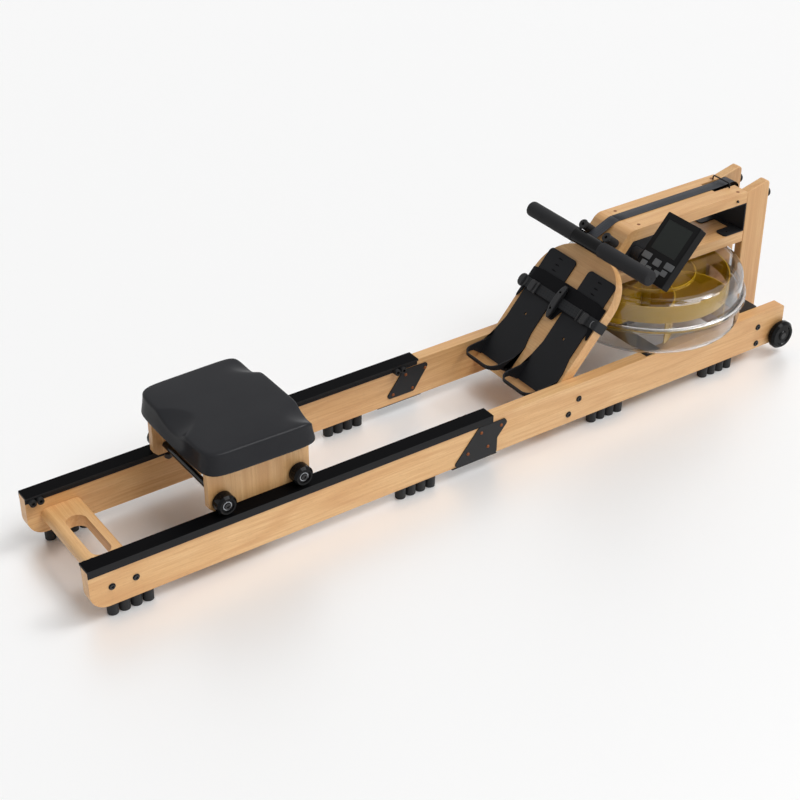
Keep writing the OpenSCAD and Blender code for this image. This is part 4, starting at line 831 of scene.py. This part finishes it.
# Instep band, in the same frame: half its length across, its lower and upper edges, and its form
BAND_HALF, BAND_LOW, BAND_HIGH = 145.5, 117, 217
BAND_T = 2.8
BAND_TOP = 8.0
BAND_BEND_Y = 128
BAND_PLATE_Y = 132
BAND_BEND, BAND_BEND_UNDER = 3.4, 3.1
BAND_FOOT_INNER, BAND_FOOT_OUTER = 12, 139
BAND_ARCH = 31
BAND_NARROW = 7
BAND_WAVE = 1.5


def band_point(across, along, under):
    """A point of the band's upper or under face, with across and along from 0 to 1."""
    y = -BAND_HALF + 2 * BAND_HALF * across
    off = abs(y)
    bend = smooth_step(max(0, (off - BAND_BEND_Y) / (BAND_HALF - BAND_BEND_Y)))
    lift = BAND_TOP - math.exp(-(y / 11) ** 2) - (BAND_BEND_UNDER if under else BAND_BEND) * bend
    lift -= 0.5 * (2 * along - 1) ** 6
    arch = BAND_ARCH * smooth_step((off - BAND_FOOT_INNER) / 12) * smooth_step((BAND_FOOT_OUTER - off) / 10)
    narrow = BAND_NARROW * smooth_step((off - 100) / 45)
    wave = BAND_WAVE * math.cos(y / 145 * TURN)
    length = BAND_HIGH - BAND_LOW - arch - narrow * 1.4
    s = BAND_LOW + arch + narrow * 0.6 + length * along + wave * (along - 0.5)
    least = 5.1 if off < BAND_PLATE_Y else 0.4
    return slope(s, y, max(least, lift - (BAND_T if under else 0)))


def instep_band():
    """A soft rubber sheet over both footplates, pulled down round the board's edges."""
    cols, rows = 72, 14
    verts = [band_point(i / cols, j / rows, under)
             for under in (False, True) for j in range(rows + 1) for i in range(cols + 1)]
    w = cols + 1
    lower = w * (rows + 1)
    faces = []
    for j in range(rows):
        for i in range(cols):
            a = j * w + i
            faces.append((a, a + w, a + w + 1, a + 1))
            faces.append((lower + a, lower + a + 1, lower + a + w + 1, lower + a + w))
    for i in range(cols):
        a, b = i, rows * w + i
        faces.append((a, a + 1, lower + a + 1, lower + a))
        faces.append((b + 1, b, lower + b, lower + b + 1))
    for j in range(rows):
        a, b = j * w, j * w + cols
        faces.append((a + w, a, lower + a, lower + a + w))
        faces.append((b, b + w, lower + b + w, lower + b))
    obj = piece("instep_sheet", verts, faces, "band", "frame", "band", levels=1)
    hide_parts("instep_band")


instep_band()

# Display glass, measured down the monitor's face from its upper end and across from its middle
GLASS_TOP, GLASS_FOOT, GLASS_HALF, GLASS_CORNER = 17.3, 100.7, 43.7, 1.5


def monitor_point(down, across, out):
    """A point on the monitor: down from its upper end, across from its middle, out of its mid-plane."""
    s = MONITOR_H - MONITOR_BELOW_AXIS - down
    return P(MONITOR_X + s * math.cos(MONITOR_ANGLE) - out * math.sin(MONITOR_ANGLE),
             -(NECK_HALF + MOUNT_REACH + REST_GAP) - MONITOR_W / 2 + across,
             MONITOR_Z + s * math.sin(MONITOR_ANGLE) + out * math.cos(MONITOR_ANGLE))


def screen_glass():
    """The display's glass, sunk in the monitor's face, with rounded corners and a slightly smaller top."""
    top, foot = GLASS_TOP + GLASS_CORNER, GLASS_FOOT - GLASS_CORNER
    half = GLASS_HALF - GLASS_CORNER
    outline = []
    for down, across, start in ((top, -half, 180), (foot, -half, 270), (foot, half, 0), (top, half, 90)):
        for i in range(5):
            a = math.radians(start + 90 * i / 4)
            outline.append((down + GLASS_CORNER * math.cos(a), across + GLASS_CORNER * math.sin(a)))
    small = [(GLASS_TOP + (down - GLASS_TOP) * 0.985 + 0.6, across * 0.985) for down, across in outline]
    face = MONITOR_T / 2
    rings = [[monitor_point(down, across, face - sunk) for down, across in points]
             for points, sunk in ((outline, 0.98), (outline, 0.35), (small, 0.2))]
    piece("screen_glass", *swept(rings), "screen", "monitor", "monitor_case", smooth=False)


screen_glass()


# Small turned rings

def side_ring(name, profile, sides, x, z, side, look, body, slot):
    """A ring turned round an axis across the machine, facing out of the given side."""
    verts, faces = lathe([(r, side * y) for r, y in profile], sides, (x, 0, z), "y")
    if side > 0:
        faces = turned_over(faces)
    piece(name, verts, faces, look, body, slot)


def hub_rings():
    """The bright bearing ring in each seat wheel's dished face."""
    for end, x in (("front", SEAT_X + WHEEL_REACH), ("rear", SEAT_X - WHEEL_REACH)):
        for side, word in BOTH_SIDES:
            wheel = f"seat_wheel_{end}_{word}"
            low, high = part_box(wheel)
            face = (high[1] if side > 0 else -low[1]) * MM
            z = (low[2] + high[2]) / 2 * MM
            profile = [(8.4, face - 6.8), (8.4, face - 3.2), (8.9, face - 2.5), (11.0, face - 2.5),
                       (11.7, face - 3.4), (11.7, face - 6.8)]
            side_ring(f"hub_ring_{end}_{word}", profile, 48, x, z, side, "steel", wheel, "steel_rod")


def bolt_collars():
    """A glossy flanged collar under the head of each bolt in the rails' outer faces."""
    places = list(END_BOLTS)
    for s in BOARD_BOLTS_S:
        p = slope(s, 0, BOARD_BOLTS_O) * MM
        places.append((p.x + HALF_LENGTH, p.z))
    profile = [(r, RAIL_OUT + h)
               for r, h in ((6.7, 0.1), (6.7, 1.6), (7.3, 2.0), (8.1, 1.5), (8.6, 0.7), (8.6, 0.1))]
    for side, word in BOTH_SIDES:
        for i, (x, z) in enumerate(places):
            side_ring(f"bolt_collar_{word}_{i}", profile, 36, x, z, side, "black_oxide", "frame",
                      "black_bolts")


def tank_ridges():
    """Thin clear ridges on the rim where the tank's halves meet."""
    ridge = ((-1.1, 0), (-0.8, 1.3), (0, 1.9), (0.8, 1.3), (1.1, 0))
    for i, radius in enumerate((247.4, 250.4, 253.2)):
        profile = [(radius + r, TANK_RIM_Z + h) for r, h in ridge]
        verts, faces = lathe(profile, 160, (TANK_X, 0, 0), "z")
        piece(f"tank_ridge_{i}", verts, turned_over(faces), "tank", "frame", "tank_clear")


hub_rings()
bolt_collars()
tank_ridges()


# Stage, lights and camera, with lengths in metres

FLOOR_HALF = 40
FLOOR_Z = -0.0005
SHADE_LIGHT = 0.29
SENSOR_W = 36
PHOTO_W = 800
FOCUS_PIXELS = 1692.1
CAMERA_X, CAMERA_Y, CAMERA_Z = -1.049, -2.898, 2.411
CAMERA_YAW, CAMERA_PITCH, CAMERA_ROLL = math.radians(55.639), math.radians(32.782), math.radians(0.034)


def floor():
    """A pale floor just under the feet that shows the machine's shadow."""
    mesh = bpy.data.meshes.new("floor")
    corners = ((-1, -1), (1, -1), (1, 1), (-1, 1))
    mesh.from_pydata([(x * FLOOR_HALF, y * FLOOR_HALF, FLOOR_Z) for x, y in corners], [], [(0, 1, 2, 3)])
    obj = bpy.data.objects.new("floor", mesh)
    bpy.context.scene.collection.objects.link(obj)
    material = new_material("floor", Base_Color=(0.96, 0.96, 0.96, 1), Roughness=0.42, Metallic=0.3)[0]
    mesh.materials.append(material)


def surroundings():
    """White surroundings where they are seen, mirrored or looked at through glass, and a low even light."""
    world = bpy.data.worlds.new("studio")
    bpy.context.scene.world = world
    world.use_nodes = True
    tree = world.node_tree
    back = tree.nodes["Background"]
    back.inputs["Color"].default_value = (1, 1, 1, 1)
    rays = node(tree, "ShaderNodeLightPath").outputs
    seen = maths(tree, "MAXIMUM", rays["Is Camera Ray"], rays["Is Transmission Ray"])
    seen = maths(tree, "MAXIMUM", seen, rays["Is Glossy Ray"])
    tree.links.new(spread(tree, seen, 0.0, 1.0, SHADE_LIGHT, 1.0), back.inputs["Strength"])


def lamp(name, towards, strength, width):
    """Even light from one direction, as from a large distant lamp that looks width degrees across."""
    light = bpy.data.lights.new(name, "SUN")
    light.energy = strength
    light.angle = math.radians(width)
    obj = bpy.data.objects.new(name, light)
    bpy.context.scene.collection.objects.link(obj)
    obj.location = Vector(towards) * 3
    obj.rotation_euler = Vector(towards).to_track_quat("Z", "Y").to_euler()


def camera():
    """The camera that was fitted to the photograph."""
    data = bpy.data.cameras.new("camera")
    data.sensor_width = SENSOR_W
    data.lens = SENSOR_W * FOCUS_PIXELS / PHOTO_W
    data.clip_end = 100
    obj = bpy.data.objects.new("camera", data)
    bpy.context.scene.collection.objects.link(obj)
    bpy.context.scene.camera = obj
    east, north = math.cos(CAMERA_YAW), math.sin(CAMERA_YAW)
    level = math.cos(CAMERA_PITCH)
    ahead = Vector((east * level, north * level, -math.sin(CAMERA_PITCH)))
    right = Vector((north, -east, 0))
    up = right.cross(ahead)
    turned = Matrix(((right.x, up.x, -ahead.x, 0), (right.y, up.y, -ahead.y, 0),
                     (right.z, up.z, -ahead.z, 0), (0, 0, 0, 1)))
    place = Matrix.Translation((CAMERA_X - HALF_LENGTH / MM, CAMERA_Y, CAMERA_Z))
    obj.matrix_world = place @ turned @ Matrix.Rotation(CAMERA_ROLL, 4, "Z")


floor()
surroundings()
lamp("key", (0.539, -0.196, 0.819), 1.22, 30)
lamp("spark", (0.58, -0.26, 0.77), 0.26, 8)
lamp("front", (0.196, -0.539, 0.819), 0.95, 30)
camera()
bpy.context.scene.view_settings.view_transform = "Standard"
